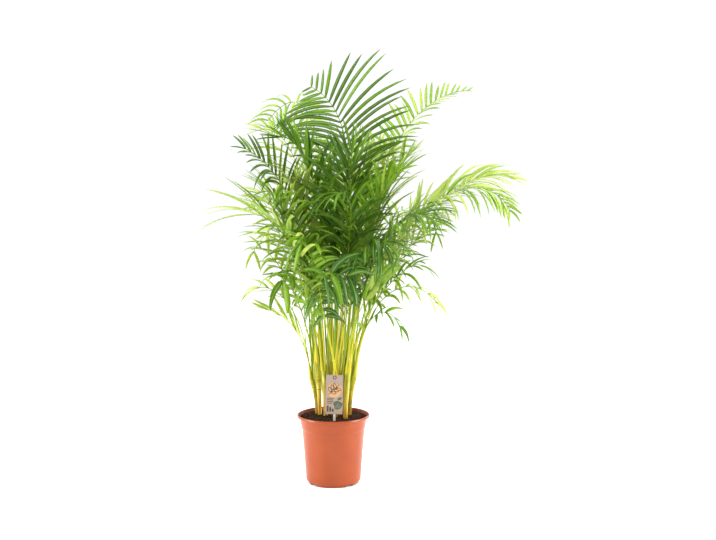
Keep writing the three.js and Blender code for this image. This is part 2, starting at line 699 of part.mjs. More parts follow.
// A frond as one body: a three-sided midrib whose side faces carry the blades.
function makeFrond(midrib, pairs) {
  const shell = new Shell();
  const sections = midrib.shares().map((share) => {
    const { centre, upper, right } = midrib.at(share);
    const radius = midrib.radius(share);
    return {
      left: shell.add(centre.clone().addScaledVector(right, -radius)),
      right: shell.add(centre.clone().addScaledVector(right, radius)),
      keel: shell.add(centre.clone().addScaledVector(upper, -radius * PETIOLE.depth)),
    };
  });
  sections.slice(1).forEach((high, i) => {
    const low = sections[i];
    const step = i - PETIOLE.steps;
    const [leftBlade, rightBlade] = (step >= 0 && step % 2 === 0 && pairs[step / 2]) || [];
    shell.quad(low.left, low.right, high.right, high.left);
    shell.faces.push(low.keel, high.keel, high.right, high.keel, low.keel, high.left);
    const rightRoot = [low.keel, high.right, low.right];
    const leftRoot = [low.keel, low.left, high.left];
    if (rightBlade) growBlade(shell, rightBlade, rightRoot, ["keel", "far", "near"]);
    else shell.faces.push(...rightRoot);
    if (leftBlade) growBlade(shell, leftBlade, leftRoot, ["keel", "near", "far"]);
    else shell.faces.push(...leftRoot);
  });
  const [first, last] = [sections[0], sections.at(-1)];
  shell.faces.push(first.left, first.keel, first.right, last.left, last.right, last.keel);
  return shell.geometry();
}

// Grows a blade out of a three-cornered root on the midrib, ring by ring to its point.
function growBlade(shell, blade, root, order) {
  let ring = root;
  blade.stations.forEach((station) => {
    const next = order.map((corner) => shell.add(station[corner]));
    ring.forEach((corner, i) => {
      const j = (i + 1) % 3;
      shell.quad(corner, ring[j], next[j], next[i]);
    });
    ring = next;
  });
  const tip = shell.add(blade.tip);
  ring.forEach((corner, i) => shell.faces.push(corner, ring[(i + 1) % 3], tip));
}

function makeLabel() {
  const { width, height, corner, eyelet } = LABEL;
  const card = new THREE.Shape();
  const [x, y] = [width / 2, height / 2];
  card.moveTo(-x + corner, -y).lineTo(x - corner, -y);
  card.absarc(x - corner, -y + corner, corner, -Math.PI / 2, 0);
  card.absarc(x - corner, y - corner, corner, 0, Math.PI / 2);
  card.absarc(-x + corner, y - corner, corner, Math.PI / 2, Math.PI);
  card.absarc(-x + corner, -y + corner, corner, Math.PI, 1.5 * Math.PI);
  const middle = y - LABEL.eyeletDrop;
  card.holes.push(new THREE.Path().absarc(0, middle, eyelet, 0, 2 * Math.PI, true));
  return new THREE.ExtrudeGeometry(card, {
    depth: LABEL.thickness,
    bevelEnabled: false,
    curveSegments: 4,
  }).rotateX(Math.PI / 2);
}

// The stake stands behind the card and ends in a point in the soil.
function stakeGeometry(grow) {
  const half = STAKE.width / 2 + grow;
  const outline = new THREE.Shape();
  outline.moveTo(0, STAKE.foot - grow).lineTo(half, STAKE.foot + STAKE.point);
  outline.lineTo(half, STAKE.top).lineTo(-half, STAKE.top).lineTo(-half, STAKE.foot + STAKE.point);
  return new THREE.ExtrudeGeometry(outline, {
    depth: STAKE.thickness + 2 * grow,
    bevelEnabled: false,
  })
    .rotateX(Math.PI / 2)
    .translate(LABEL.side, LABEL.front + LABEL.thickness + GAP + STAKE.thickness + grow, 0);
}

function named(name, geometry, material) {
  const mesh = new THREE.Mesh(geometry, material);
  mesh.name = name;
  return mesh;
}

const number = (index) => String(index + 1).padStart(2, "0");

const plant = new THREE.Group();
const holes = [...CANES.map(caneHole), solidOf(stakeGeometry(GAP))];
plant.add(named("nursery_pot", makePot(), COLOURS.pot));
plant.add(named("potting_soil", makeSoil(holes), COLOURS.soil));
CANES.forEach((cane, i) => plant.add(named(`cane_${number(i)}`, makeCane(cane), COLOURS.cane)));

const thicket = new Thicket();
CANES.forEach((cane) => {
  const line = caneLine(cane);
  const stretches = [0, 0.25, 0.5, 0.75].map((share) => ({
    stretch: new THREE.Line3(line.getPoint(share), line.getPoint(share + 0.25)),
    radius: caneRadius(share),
  }));
  thicket.addMidrib(stretches, "cane");
});
const midribs = FRONDS.map((frond) => new Midrib(frond));
midribs.forEach((midrib, i) => thicket.addMidrib(midrib.stretches(), i));
midribs.forEach((midrib, i) => {
  const pairs = placeBlades(midrib, thicket, i);
  plant.add(named(`frond_${number(i)}`, makeFrond(midrib, pairs), COLOURS.frond));
});

const label = named("care_label", makeLabel(), COLOURS.label);
label.position.set(LABEL.side, LABEL.front + LABEL.thickness, LABEL.bottom + LABEL.height / 2);
label.rotation.y = degrees(LABEL.lean);
plant.add(label);
plant.add(named("label_stake", stakeGeometry(0), COLOURS.stake));

export default plant;
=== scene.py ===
"""Looks of a clumping feather palm in a plastic nursery pot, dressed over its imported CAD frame.

Every object is in metres, in the frame's own axes: the origin is the centre of the pot's underside, +Z is
up, and the care label faces -Y. Sizes that the plan of the plant gives are written in millimetres.
"""

from __future__ import annotations

import json
import logging
import math
from dataclasses import dataclass, field
from enum import Enum
from functools import partial
from typing import Any

import bmesh
import bpy
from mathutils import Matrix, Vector, noise
from mathutils.geometry import interpolate_bezier

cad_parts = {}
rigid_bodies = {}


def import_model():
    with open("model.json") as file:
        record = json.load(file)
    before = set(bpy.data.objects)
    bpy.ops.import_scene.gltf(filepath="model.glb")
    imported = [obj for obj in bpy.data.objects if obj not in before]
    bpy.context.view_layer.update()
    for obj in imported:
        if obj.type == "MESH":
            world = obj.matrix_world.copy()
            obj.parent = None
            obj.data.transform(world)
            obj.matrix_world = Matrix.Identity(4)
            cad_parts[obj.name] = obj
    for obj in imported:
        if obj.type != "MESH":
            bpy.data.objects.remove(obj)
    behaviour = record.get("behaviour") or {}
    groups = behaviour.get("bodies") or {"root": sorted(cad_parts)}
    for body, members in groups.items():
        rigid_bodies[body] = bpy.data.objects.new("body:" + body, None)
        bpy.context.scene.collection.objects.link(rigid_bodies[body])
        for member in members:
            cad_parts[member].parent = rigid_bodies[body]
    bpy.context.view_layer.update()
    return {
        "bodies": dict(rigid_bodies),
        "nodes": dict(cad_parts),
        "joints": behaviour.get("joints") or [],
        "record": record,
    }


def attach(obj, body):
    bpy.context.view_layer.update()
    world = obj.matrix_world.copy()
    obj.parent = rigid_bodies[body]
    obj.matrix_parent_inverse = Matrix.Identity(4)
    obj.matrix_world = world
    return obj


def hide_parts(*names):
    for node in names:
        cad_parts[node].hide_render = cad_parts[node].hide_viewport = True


log = logging.getLogger("potted_palm")

MM = 0.001
GAP = 0.3  # between pieces that touch, in millimetres
BODY = "root"
LIMP_LENGTH = 200.0
UP = Vector((0, 0, 1))
TOWARD_LABEL = Vector((0, -1, 0))

Links = dict[Any, Any]
Point2 = tuple[float, float]
Point3 = tuple[float, float, float]


# ---------------------------------------------------------------------------------------------------
# Small tools


def linear(colour: str, alpha: float = 1.0) -> tuple[float, float, float, float]:
    """Turns an sRGB hex colour to linear light.

    Args:
        colour: The colour as "#rrggbb".
        alpha: Its opacity.

    Returns:
        Red, green, blue and alpha in linear light.
    """
    parts = [int(colour[i : i + 2], 16) / 255 for i in (1, 3, 5)]
    light = [p / 12.92 if p <= 0.04045 else ((p + 0.055) / 1.055) ** 2.4 for p in parts]
    return (*light, alpha)


def add_node(tree: bpy.types.NodeTree, kind: str, links: Links | None = None, **settings: Any) -> bpy.types.Node:
    """Adds one node to a tree, with its settings and what its inputs hold.

    Args:
        tree: The shader or geometry tree.
        kind: The node's type.
        links: For each input, by its name or its place among those in use, a value, a socket, or a node
            whose first output in use is meant.
        **settings: The node's own properties.

    Returns:
        The new node.
    """
    node = tree.nodes.new(kind)
    for name, value in settings.items():
        setattr(node, name, value)
    for key, value in (links or {}).items():
        in_use = [socket for socket in node.inputs if socket.enabled]
        socket = in_use[key] if isinstance(key, int) else next(s for s in in_use if s.name == key)
        if isinstance(value, bpy.types.Node):
            value = next(output for output in value.outputs if output.enabled)
        if isinstance(value, bpy.types.NodeSocket):
            tree.links.new(value, socket)
        else:
            socket.default_value = value
    return node


def smooth_mesh(name: str, points: list[Point3], faces: list[tuple[int, ...]]) -> bpy.types.Mesh:
    """Makes a smooth-shaded mesh with its faces turned outward.

    Args:
        name: The mesh's name.
        points: Corners in millimetres.
        faces: Corner numbers of each face.

    Returns:
        The mesh, in metres.
    """
    mesh = bpy.data.meshes.new(name)
    mesh.from_pydata([Vector(p) * MM for p in points], [], faces)
    shaped = bmesh.new()
    shaped.from_mesh(mesh)
    bmesh.ops.remove_doubles(shaped, verts=shaped.verts, dist=1e-6)
    bmesh.ops.recalc_face_normals(shaped, faces=shaped.faces)
    for face in shaped.faces:
        face.smooth = True
    shaped.to_mesh(mesh)
    shaped.free()
    return mesh


def show(mesh: bpy.types.Mesh, name: str) -> bpy.types.Object:
    """Puts a mesh into the scene as an object at the origin."""
    piece = bpy.data.objects.new(name, mesh)
    bpy.context.scene.collection.objects.link(piece)
    return piece


def seat(piece: bpy.types.Object, slot: str, *nodes: str) -> None:
    """Ties a finished piece to the frame.

    Args:
        piece: The piece.
        slot: The record's material slot. It is not used.
        *nodes: The CAD nodes that it stands for, if any.
    """
    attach(piece, BODY)
    if nodes:
        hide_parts(*nodes)
    log.info("%s: %d faces", piece.name, len(piece.data.polygons))


@dataclass
class Recipe:
    """A Geometry Nodes tree with named inputs, and how a mesh is made from it."""

    title: str
    inputs: dict[str, str]
    tree: bpy.types.NodeTree = field(init=False)
    entry: bpy.types.Node = field(init=False)

    def __post_init__(self) -> None:
        """Starts the tree with its named inputs."""
        self.tree = bpy.data.node_groups.new(self.title, "GeometryNodeTree")
        for name, kind in {"Geometry": "Geometry", **self.inputs}.items():
            self.tree.interface.new_socket(name=name, in_out="INPUT", socket_type=f"NodeSocket{kind}")
        self.tree.interface.new_socket(name="Geometry", in_out="OUTPUT", socket_type="NodeSocketGeometry")
        self.entry = self.tree.nodes.new("NodeGroupInput")

    def given(self, name: str) -> bpy.types.NodeSocket:
        """The socket that brings a named input into the tree."""
        return self.entry.outputs[name]

    def end(self, *parts: bpy.types.Node) -> None:
        """Joins the parts, smooths them and hands them out."""
        joined = add_node(self.tree, "GeometryNodeJoinGeometry")
        for part in parts:
            self.tree.links.new(part.outputs[0], joined.inputs[0])
        smooth = add_node(self.tree, "GeometryNodeSetShadeSmooth", {0: joined})
        add_node(self.tree, "NodeGroupOutput", {0: smooth})

    def make(self, name: str, values: dict[str, Any], start: bpy.types.Mesh | None = None) -> bpy.types.Object:
        """Runs the tree and keeps the result as a plain mesh.

        Args:
            name: The new object's name.
            values: A value for each named input.
            start: The mesh that goes in, if the tree works on one.

        Returns:
            The finished object, at the origin and with no modifier.
        """
        carrier = show(start or bpy.data.meshes.new(f"{name}.start"), f"{name}.start")
        modifier = carrier.modifiers.new(self.title, "NODES")
        modifier.node_group = self.tree
        sockets = {s.name: s.identifier for s in self.tree.interface.items_tree if s.in_out == "INPUT"}
        for key, value in values.items():
            modifier[sockets[key]] = value
        evaluated = carrier.evaluated_get(bpy.context.evaluated_depsgraph_get())
        mesh = bpy.data.meshes.new_from_object(evaluated)
        mesh.name = name
        bpy.data.objects.remove(carrier)
        return show(mesh, name)


# ---------------------------------------------------------------------------------------------------
# Plan of the plant, in millimetres


class Tone(Enum):
    """How yellow a frond's leaflets are, from aged and shaded through full grown to young. The tone is partly the
    leaflets' age and partly painted light: fronds deep in the crown get the dark SHADED tone as painted shade, and
    fronds at the bright fringe get the pale FRESH and YOUNG tones as painted light.
    """

    # Painted shade: the dark tone given to fronds deep in the crown.
    SHADED = 0.12
    GROWN = 0.42
    FRESH = 0.68
    YOUNG = 0.92


@dataclass(frozen=True)
class CanePlan:
    """One cane.

    Attributes:
        foot: Where it leaves the soil.
        top: The middle of its top, which carries its fronds.
        spear: The point of its newest leaf, where it has one that is still closed.
    """

    foot: Point2
    top: Point3
    spear: Point3 | None = None


@dataclass(frozen=True)
class FrondPlan:
    """One feather frond.

    Attributes:
        cane: The cane that it springs from.
        half: Where its midrib is half way.
        tip: Where its midrib ends.
        leaf: The longest leaflet.
        width: The leaflets' width.
        bare: The share of the midrib that is bare stalk.
        tone: How yellow its leaflets are: partly their age and partly painted light, dark as painted shade deep in the
            crown and pale at the bright fringe.
        spread: Angle between the midrib and the leaflets, at its foot and at its tip.
        droop: How limp the leaflets are: the turn, in radians, of a level one as long as LIMP_LENGTH.
        taper: The share by which the last leaflets are shorter.
        pitch: From one pair to the next.
        disorder: How far the leaflets stray from their even order.
        face: The way its upper side faces, where that isn't up and inward.
    """

    cane: int
    half: Point3
    tip: Point3
    leaf: float
    width: float = 13
    bare: float = 0.36
    tone: Tone = Tone.GROWN
    spread: Point2 = (64, 46)
    droop: float = 1.15
    taper: float = 0.8
    pitch: float = 19
    disorder: float = 1.0
    face: Point3 | None = None


CANES = (
    CanePlan((-44, 34), (-59, 44, 358), (-45, 52, 640)),
    CanePlan((-40, 4), (-49, 0, 367), (-75, 45, 640)),
    CanePlan((-26, 58), (-32, 72, 379), (-40, 58, 640)),
    CanePlan((-22, -14), (-28, -28, 350), (-14, -36, 640)),
    CanePlan((-8, 36), (-10, 39, 392), (-36, 84, 640)),
    CanePlan((2, 68), (2, 92, 375), (-8, 89, 580)),
    CanePlan((4, 6), (6, -3, 371), (6, -25, 640)),
    CanePlan((16, 44), (22, 52, 396), (48, 97, 640)),
    CanePlan((36, -46), (44, -54, 346), (64, -19, 640)),
    CanePlan((28, 66), (40, 87, 367), (5, 67, 640)),
    CanePlan((42, 24), (56, 25, 367), (82, -20, 580)),
    CanePlan((46, 50), (67, 62, 350), (67, 92, 640)),
    CanePlan((-46, 56), (-54, 88, 354), (-33, 109, 580)),
    CanePlan((6, -34), (9, -48, 337), (61, -48, 640)),
    CanePlan((-47, 19), (-68, 22, 315), (-77, 27, 640)),
    CanePlan((47, 6), (65, -3, 325)),
)

# Each frond's tone is partly its age and partly painted light: SHADED is painted shade on fronds deep in the crown,
# and FRESH and YOUNG are partly painted light on fronds at the bright fringe.
FRONDS = (
    FrondPlan(7, (47, 47, 921), (-64, 56, 1176), 245, 11, 0.58, Tone.SHADED, (50, 66), 0.9, 0.84, 16, 0.5, (0.1, -1, 0.15)),
    FrondPlan(4, (-52, 102, 1035), (-196, 110, 1078), 118, 9, 0.53, Tone.FRESH, (84, 70), 4.0, 0.4, 17, 0.8),
    FrondPlan(1, (-101, -39, 787), (-246, -90, 997), 150, 10, 0.37, Tone.SHADED, (50, 34), 2.0, 0.6, 16, 1.2, (0.2, -0.5, 1)),
    FrondPlan(3, (-109, -99, 703), (-226, -150, 814), 225, 12, 0.4, Tone.FRESH, (50, 20), 0.9, 0.25),
    FrondPlan(0, (-120, 87, 674), (-190, 120, 750), 150, 11, 0.39, Tone.FRESH, (50, 40), 2.0, 0.5, 27),
    FrondPlan(0, (-160, 43, 645), (-236, 44, 690), 130, 12, 0.39, Tone.YOUNG, (56, 40), 2.4, 0.5, 26),
    FrondPlan(3, (-90, -96, 590), (-140, -150, 625), 120, 21, 0.5, Tone.GROWN, (60, 40), 4.0, 0.2, 26, 1.2),
    FrondPlan(14, (-108, -2, 455), (-188, -16, 522), 120, 15, 0.32, Tone.YOUNG, (26, 10), 0.8, 0.5, 30),
    FrondPlan(14, (-138, 30, 540), (-246, 44, 572), 80, 12, 0.62, Tone.YOUNG, (40, 16), 3.0, 0.4, 24),
    FrondPlan(9, (166, 151, 965), (408, 196, 1168), 125, 10, 0.42, Tone.FRESH, (62, 50), 1.3, 0.8, 17),
    FrondPlan(11, (281, 91, 806), (538, 100, 906), 170, 9, 0.31, Tone.YOUNG, (40, 26), 1.7, 0.7, 14, 1.2),
    FrondPlan(10, (280, -34, 829), (505, -120, 824), 165, 9, 0.31, Tone.FRESH, (46, 40), 2.4, 0.7, 14, 1.6),
    FrondPlan(8, (154, -116, 737), (288, -196, 800), 185, 9, 0.32, Tone.SHADED, (46, 34), 1.8, 0.6, 14, 1.6),
    FrondPlan(11, (210, 50, 683), (304, 30, 750), 160, 9, 0.37, Tone.FRESH, (46, 30), 1.8, 0.6, 18, 1.6),
    FrondPlan(8, (160, -80, 602), (252, -96, 664), 150, 12, 0.34, Tone.GROWN, (50, 36), 2.6, 0.5, 25, 1.6),
    FrondPlan(15, (164, 14, 566), (306, 28, 540), 95, 13, 0.52, Tone.YOUNG, (60, 30), 4.0, 0.3, 30, 1.2),
    FrondPlan(15, (120, -50, 508), (196, -70, 484), 80, 14, 0.5, Tone.GROWN, (60, 30), 4.0, 0.3, 24, 1.2),
    FrondPlan(8, (70, -82, 508), (130, -132, 622), 108, 26, 0.76, Tone.FRESH, (16, 8), 0.1, 0.1, 30, 0.6, (0.3, -1, 0.2)),
    FrondPlan(6, (-48, -77, 877), (-148, -130, 1030), 190, 9, 0.38, Tone.SHADED, (34, 20), 0.7, 0.6, 12, 1.6),
    FrondPlan(10, (144, 62, 820), (222, 70, 970), 195, 9, 0.39, Tone.FRESH, (40, 26), 0.8, 0.6, 12, 1.6),
    FrondPlan(6, (38, -93, 822), (56, -160, 1000), 185, 9, 0.38, Tone.SHADED, (44, 14), 0.5, 0.5, 12, 2),
    FrondPlan(13, (51, -125, 770), (0, -220, 870), 160, 9, 0.4, Tone.SHADED, (34, 20), 2.4, 0.4, 12, 2),
    FrondPlan(3, (-52, -121, 665), (-84, -196, 740), 165, 16, 0.48, Tone.GROWN, (30, 18), 3.0, 0.4, 18, 2),
    FrondPlan(13, (92, -137, 675), (140, -230, 720), 165, 14, 0.43, Tone.SHADED, (34, 22), 3.2, 0.4, 16, 2),
    FrondPlan(13, (-34, -178, 598), (46, -230, 648), 118, 21, 0.46, Tone.SHADED, (80, 60), 4.0, 0.2, 22, 1.6, (0.2, -1, 0.35)),
    FrondPlan(5, (-22, 277, 814), (-50, 420, 880), 190, 12, 0.4, Tone.FRESH, (40, 26), 0.9),
    FrondPlan(12, (-140, 232, 676), (-220, 330, 720), 170, 12, 0.34, Tone.GROWN, (50, 40), 1.6, 0.8, 30),
    FrondPlan(9, (149, 267, 726), (230, 380, 770), 175, 12, 0.38, Tone.FRESH, (50, 40), 1.6, 0.8, 28),
    FrondPlan(2, (-98, 157, 900), (-220, 230, 1050), 180, 9, 0.42, Tone.YOUNG, (50, 36), 1.3, 0.6, 20, 1.4),
    FrondPlan(5, (32, 255, 665), (54, 370, 690), 140, 13, 0.48, Tone.GROWN, (50, 40), 2.4, 0.8, 26),
    FrondPlan(12, (-82, 200, 622), (-112, 290, 652), 120, 14, 0.49, Tone.SHADED, (50, 40), 2.6, 0.8, 28),
    FrondPlan(9, (132, 187, 648), (220, 250, 670), 130, 14, 0.49, Tone.GROWN, (50, 40), 2.6, 0.8, 28),
    FrondPlan(2, (-149, 104, 777), (-230, 110, 850), 170, 11, 0.43, Tone.YOUNG, (46, 34), 1.6, 0.6, 17, 1.4),
    FrondPlan(4, (-70, -9, 772), (-116, -110, 900), 180, 9, 0.41, Tone.YOUNG, (30, 14), 0.9, 0.5, 12, 1.8),
    FrondPlan(7, (91, 134, 858), (150, 190, 1000), 180, 9, 0.42, Tone.YOUNG, (44, 28), 0.9, 0.6, 12, 1.4),
    FrondPlan(1, (-118, -92, 766), (-168, -186, 876), 180, 9, 0.37, Tone.GROWN, (40, 26), 1.6, 0.5, 12, 1.6),
    FrondPlan(10, (117, -61, 790), (180, -150, 930), 185, 9, 0.39, Tone.GROWN, (34, 16), 1.0, 0.5, 12, 1.6),
)


# ---------------------------------------------------------------------------------------------------
# Finishes


@dataclass(frozen=True)
class LeafFinish:
    """Live palm leaflet: a thin blade under a waxy cuticle, with fine veins along its length.

    The wax gives a soft broad sheen, and the thin blade glows yellow-green where light comes through.
    """

    # Dark end of the ramp: the colour of aged leaflets, and painted shade on fronds deep in the crown.
    aged_and_painted_shade: str = "#195502"
    grown: str = "#6e9d10"
    # Pale end of the ramp: the colour of young leaflets, made paler as painted light from the bright backdrop.
    young: str = "#c0ce66"
    glow: str = "#c0d24a"
    tip: str = "#8a6a35"
    roughness: float = 0.3
    ior: float = 1.5
    wax_level: float = 0.34
    glow_share: float = 0.4
    veins_across: float = 9.0  # true veins are under 1 mm apart, and are drawn as coarse as they show

    def make(self) -> bpy.types.Material:
        """Builds the leaflet material."""
        material = bpy.data.materials.new("Palm leaflet, waxy cuticle")
        material.use_nodes = True
        tree = material.node_tree
        tree.nodes.clear()
        add = partial(add_node, tree)
        tint = add("ShaderNodeAttribute", attribute_name="tint")
        along = add("ShaderNodeAttribute", attribute_name="along")
        chord = add("ShaderNodeAttribute", attribute_name="chord")
        place = add("ShaderNodeTexCoord")
        mottle = add("ShaderNodeTexNoise", {"Vector": place.outputs["Object"], "Scale": 70.0, "Detail": 3.0})
        mixed = add("ShaderNodeMapRange", {0: mottle, "To Min": -0.12, "To Max": 0.12})
        # The frond's tint, partly age and partly painted light, picks the leaflet colour along the ramp.
        age_and_painted_light = add("ShaderNodeMath", {0: tint.outputs["Fac"], 1: mixed}, operation="ADD")
        ramp = add("ShaderNodeValToRGB", {0: age_and_painted_light})
        ramp.color_ramp.elements[0].color = linear(self.aged_and_painted_shade)
        ramp.color_ramp.elements[1].color = linear(self.young)
        ramp.color_ramp.elements.new(0.5).color = linear(self.grown)
        phase = add("ShaderNodeMath", {0: chord.outputs["Fac"], 1: self.veins_across * math.pi}, operation="MULTIPLY")
        vein = add("ShaderNodeMath", {0: phase}, operation="COSINE")
        shade = add("ShaderNodeMapRange", {0: vein, "From Min": -1.0, "To Min": 0.9, "To Max": 1.06})
        veined = add("ShaderNodeVectorMath", {0: ramp, "Scale": shade}, operation="SCALE")
        edge = add("ShaderNodeMath", {0: chord.outputs["Fac"]}, operation="ABSOLUTE")
        rib = add("ShaderNodeMapRange", {0: edge, "From Min": 0.04, "From Max": 0.16, "To Min": 0.55, "To Max": 0.0})
        ribbed = add("ShaderNodeMix", {"Factor": rib, "A": veined, "B": linear(self.young)}, data_type="RGBA")
        dry = add("ShaderNodeMapRange", {0: along.outputs["Fac"], "From Min": 0.965, "From Max": 1.0})
        blade = add("ShaderNodeMix", {"Factor": dry, "A": ribbed, "B": linear(self.tip)}, data_type="RGBA")
        bump = add("ShaderNodeBump", {"Strength": 0.25, "Distance": 0.0003, "Height": vein})
        skin = add(
            "ShaderNodeBsdfPrincipled",
            {
                "Base Color": blade,
                "Roughness": self.roughness,
                "IOR": self.ior,
                "Specular IOR Level": self.wax_level,
                "Normal": bump,
            },
        )
        light = add("ShaderNodeMix", {"Factor": 0.55, "A": blade, "B": linear(self.glow)}, data_type="RGBA")
        through = add("ShaderNodeBsdfTranslucent", {"Color": light, "Normal": bump})
        both = add("ShaderNodeMixShader", {0: self.glow_share, 1: skin, 2: through})
        add("ShaderNodeOutputMaterial", {"Surface": both})
        return material


@dataclass(frozen=True)
class StalkFinish:
    """Petiole, midrib or closed leaf: smooth and fibrous, yellow at the foot and green towards the tip."""

    title: str = "Palm stalk, smooth fibre"
    foot: str = "#a3980d"
    middle: str = "#8a960e"
    tip: str = "#547f18"
    roughness: float = 0.38
    fibre_pitch: float = 1.4 * MM

    def make(self) -> bpy.types.Material:
        """Builds the stalk material."""
        material = bpy.data.materials.new(self.title)
        material.use_nodes = True
        tree = material.node_tree
        tree.nodes.clear()
        add = partial(add_node, tree)
        along = add("ShaderNodeAttribute", attribute_name="along")
        place = add("ShaderNodeTexCoord")
        stretched = add("ShaderNodeMapping", {"Vector": place.outputs["Object"], "Scale": (1.0, 1.0, 0.06)})
        fibre = add("ShaderNodeTexNoise", {"Vector": stretched, "Scale": 1 / self.fibre_pitch, "Detail": 3.0})
        drift = add("ShaderNodeMapRange", {0: fibre, "To Min": -0.16, "To Max": 0.16})
        share = add("ShaderNodeMath", {0: along.outputs["Fac"], 1: drift}, operation="ADD")
        ramp = add("ShaderNodeValToRGB", {0: share})
        ramp.color_ramp.elements[0].color = linear(self.foot)
        ramp.color_ramp.elements[1].color = linear(self.tip)
        ramp.color_ramp.elements.new(0.4).color = linear(self.middle)
        bump = add("ShaderNodeBump", {"Strength": 0.3, "Distance": 0.0003, "Height": fibre})
        skin = add(
            "ShaderNodeBsdfPrincipled",
            {"Base Color": ramp, "Roughness": self.roughness, "Specular IOR Level": 0.25, "Normal": bump},
        )
        add("ShaderNodeOutputMaterial", {"Surface": skin})
        return material


@dataclass(frozen=True)
class CaneFinish:
    """Palm cane: smooth ringed stem, orange-yellow at the soil, with brown flecks and leaf scars, and with painted
    shade and painted highlights laid on in dark and pale streaks.
    """

    foot: str = "#9a680c"
    middle: str = "#9c880e"
    top: str = "#90920e"
    scar: str = "#5d3e18"
    # Painted shade: a dark colour laid in streaks for the shadows between the canes.
    painted_shade_streak: str = "#4c5208"
    # Painted highlight: a pale colour laid in streaks for the lit sides of the canes.
    painted_highlight: str = "#cfc77a"
    roughness: float = 0.4
    fleck_pitch: float = 5.0 * MM
    fibre_pitch: float = 1.2 * MM
    painted_streak_pitch: float = 8.0 * MM

    def make(self) -> bpy.types.Material:
        """Builds the cane material."""
        material = bpy.data.materials.new("Palm cane, ringed stem")
        material.use_nodes = True
        tree = material.node_tree
        tree.nodes.clear()
        add = partial(add_node, tree)
        along = add("ShaderNodeAttribute", attribute_name="along")
        ring = add("ShaderNodeAttribute", attribute_name="ring")
        place = add("ShaderNodeTexCoord")
        long_way = add("ShaderNodeMapping", {"Vector": place.outputs["Object"], "Scale": (1.0, 1.0, 0.12)})
        fibre = add("ShaderNodeTexNoise", {"Vector": long_way, "Scale": 1 / self.fibre_pitch, "Detail": 4.0})
        drift = add("ShaderNodeMapRange", {0: fibre, "To Min": -0.2, "To Max": 0.2})
        share = add("ShaderNodeMath", {0: along.outputs["Fac"], 1: drift}, operation="ADD")
        ramp = add("ShaderNodeValToRGB", {0: share})
        ramp.color_ramp.elements[0].position = 0.28
        ramp.color_ramp.elements[0].color = linear(self.foot)
        ramp.color_ramp.elements[1].color = linear(self.top)
        ramp.color_ramp.elements.new(0.6).color = linear(self.middle)
        # Slow noise that places the painted shade and painted highlight streaks.
        band = add("ShaderNodeTexNoise", {"Vector": long_way, "Scale": 1 / self.painted_streak_pitch, "Detail": 2.0})
        # Painted shade where the noise is high.
        deep = add("ShaderNodeMapRange", {0: band, "From Min": 0.5, "From Max": 0.62, "To Max": 0.6})
        with_painted_shade = add("ShaderNodeMix", {"Factor": deep, "A": ramp, "B": linear(self.painted_shade_streak)}, data_type="RGBA")
        # Painted highlight where the noise is low.
        light = add("ShaderNodeMapRange", {0: band, "From Min": 0.44, "From Max": 0.34, "To Max": 0.5})
        with_painted_highlight = add("ShaderNodeMix", {"Factor": light, "A": with_painted_shade, "B": linear(self.painted_highlight)}, data_type="RGBA")
        fleck = add(
            "ShaderNodeTexNoise",
            {"Vector": place.outputs["Object"], "Scale": 1 / self.fleck_pitch, "Detail": 5.0, "Roughness": 0.65},
        )
        spots = add("ShaderNodeMapRange", {0: fleck, "From Min": 0.6, "From Max": 0.7, "To Max": 0.8})
        marks = add("ShaderNodeMath", {0: spots, 1: ring.outputs["Fac"]}, operation="MAXIMUM")
        coloured = add("ShaderNodeMix", {"Factor": marks, "A": with_painted_highlight, "B": linear(self.scar)}, data_type="RGBA")
        bump = add("ShaderNodeBump", {"Strength": 0.35, "Distance": 0.0004, "Height": fibre})
        skin = add(
            "ShaderNodeBsdfPrincipled",
            {"Base Color": coloured, "Roughness": self.roughness, "Specular IOR Level": 0.25, "Normal": bump},
        )
        add("ShaderNodeOutputMaterial", {"Surface": skin})
        return material


@dataclass(frozen=True)
class PotFinish:
    """Injection-moulded polypropylene in terracotta colour: even, satin, with faint draw marks and dust."""

    body: str = "#86370f"
    faded: str = "#8d3d15"
    roughness: float = 0.32
    ior: float = 1.49
    sheen_level: float = 0.3
    grain_pitch: float = 0.9 * MM
    cloud_pitch: float = 60.0 * MM

    def make(self) -> bpy.types.Material:
        """Builds the pot's material."""
        material = bpy.data.materials.new("Polypropylene, moulded, terracotta colour")
        material.use_nodes = True
        tree = material.node_tree
        tree.nodes.clear()
        add = partial(add_node, tree)
        place = add("ShaderNodeTexCoord")
        cloud = add("ShaderNodeTexNoise", {"Vector": place.outputs["Object"], "Scale": 1 / self.cloud_pitch, "Detail": 4.0})
        patch = add("ShaderNodeMapRange", {0: cloud, "From Min": 0.35, "From Max": 0.7})
        colour = add("ShaderNodeMix", {"Factor": patch, "A": linear(self.body), "B": linear(self.faded)}, data_type="RGBA")
        grain = add("ShaderNodeTexNoise", {"Vector": place.outputs["Object"], "Scale": 1 / self.grain_pitch, "Detail": 2.0})
        drawn = add("ShaderNodeMapping", {"Vector": place.outputs["Object"], "Scale": (1.0, 1.0, 0.02)})
        lines = add("ShaderNodeTexNoise", {"Vector": drawn, "Scale": 0.6 / self.grain_pitch, "Detail": 2.0})
        relief = add("ShaderNodeMath", {0: grain, 1: lines}, operation="ADD")
        bump = add("ShaderNodeBump", {"Strength": 0.12, "Distance": 0.0002, "Height": relief})
        gloss = add("ShaderNodeMapRange", {0: cloud, "To Min": self.roughness - 0.05, "To Max": self.roughness + 0.1})
        skin = add(
            "ShaderNodeBsdfPrincipled",
            {
                "Base Color": colour,
                "Roughness": gloss,
                "IOR": self.ior,
                "Specular IOR Level": self.sheen_level,
                "Normal": bump,
            },
        )
        add("ShaderNodeOutputMaterial", {"Surface": skin})
        return material


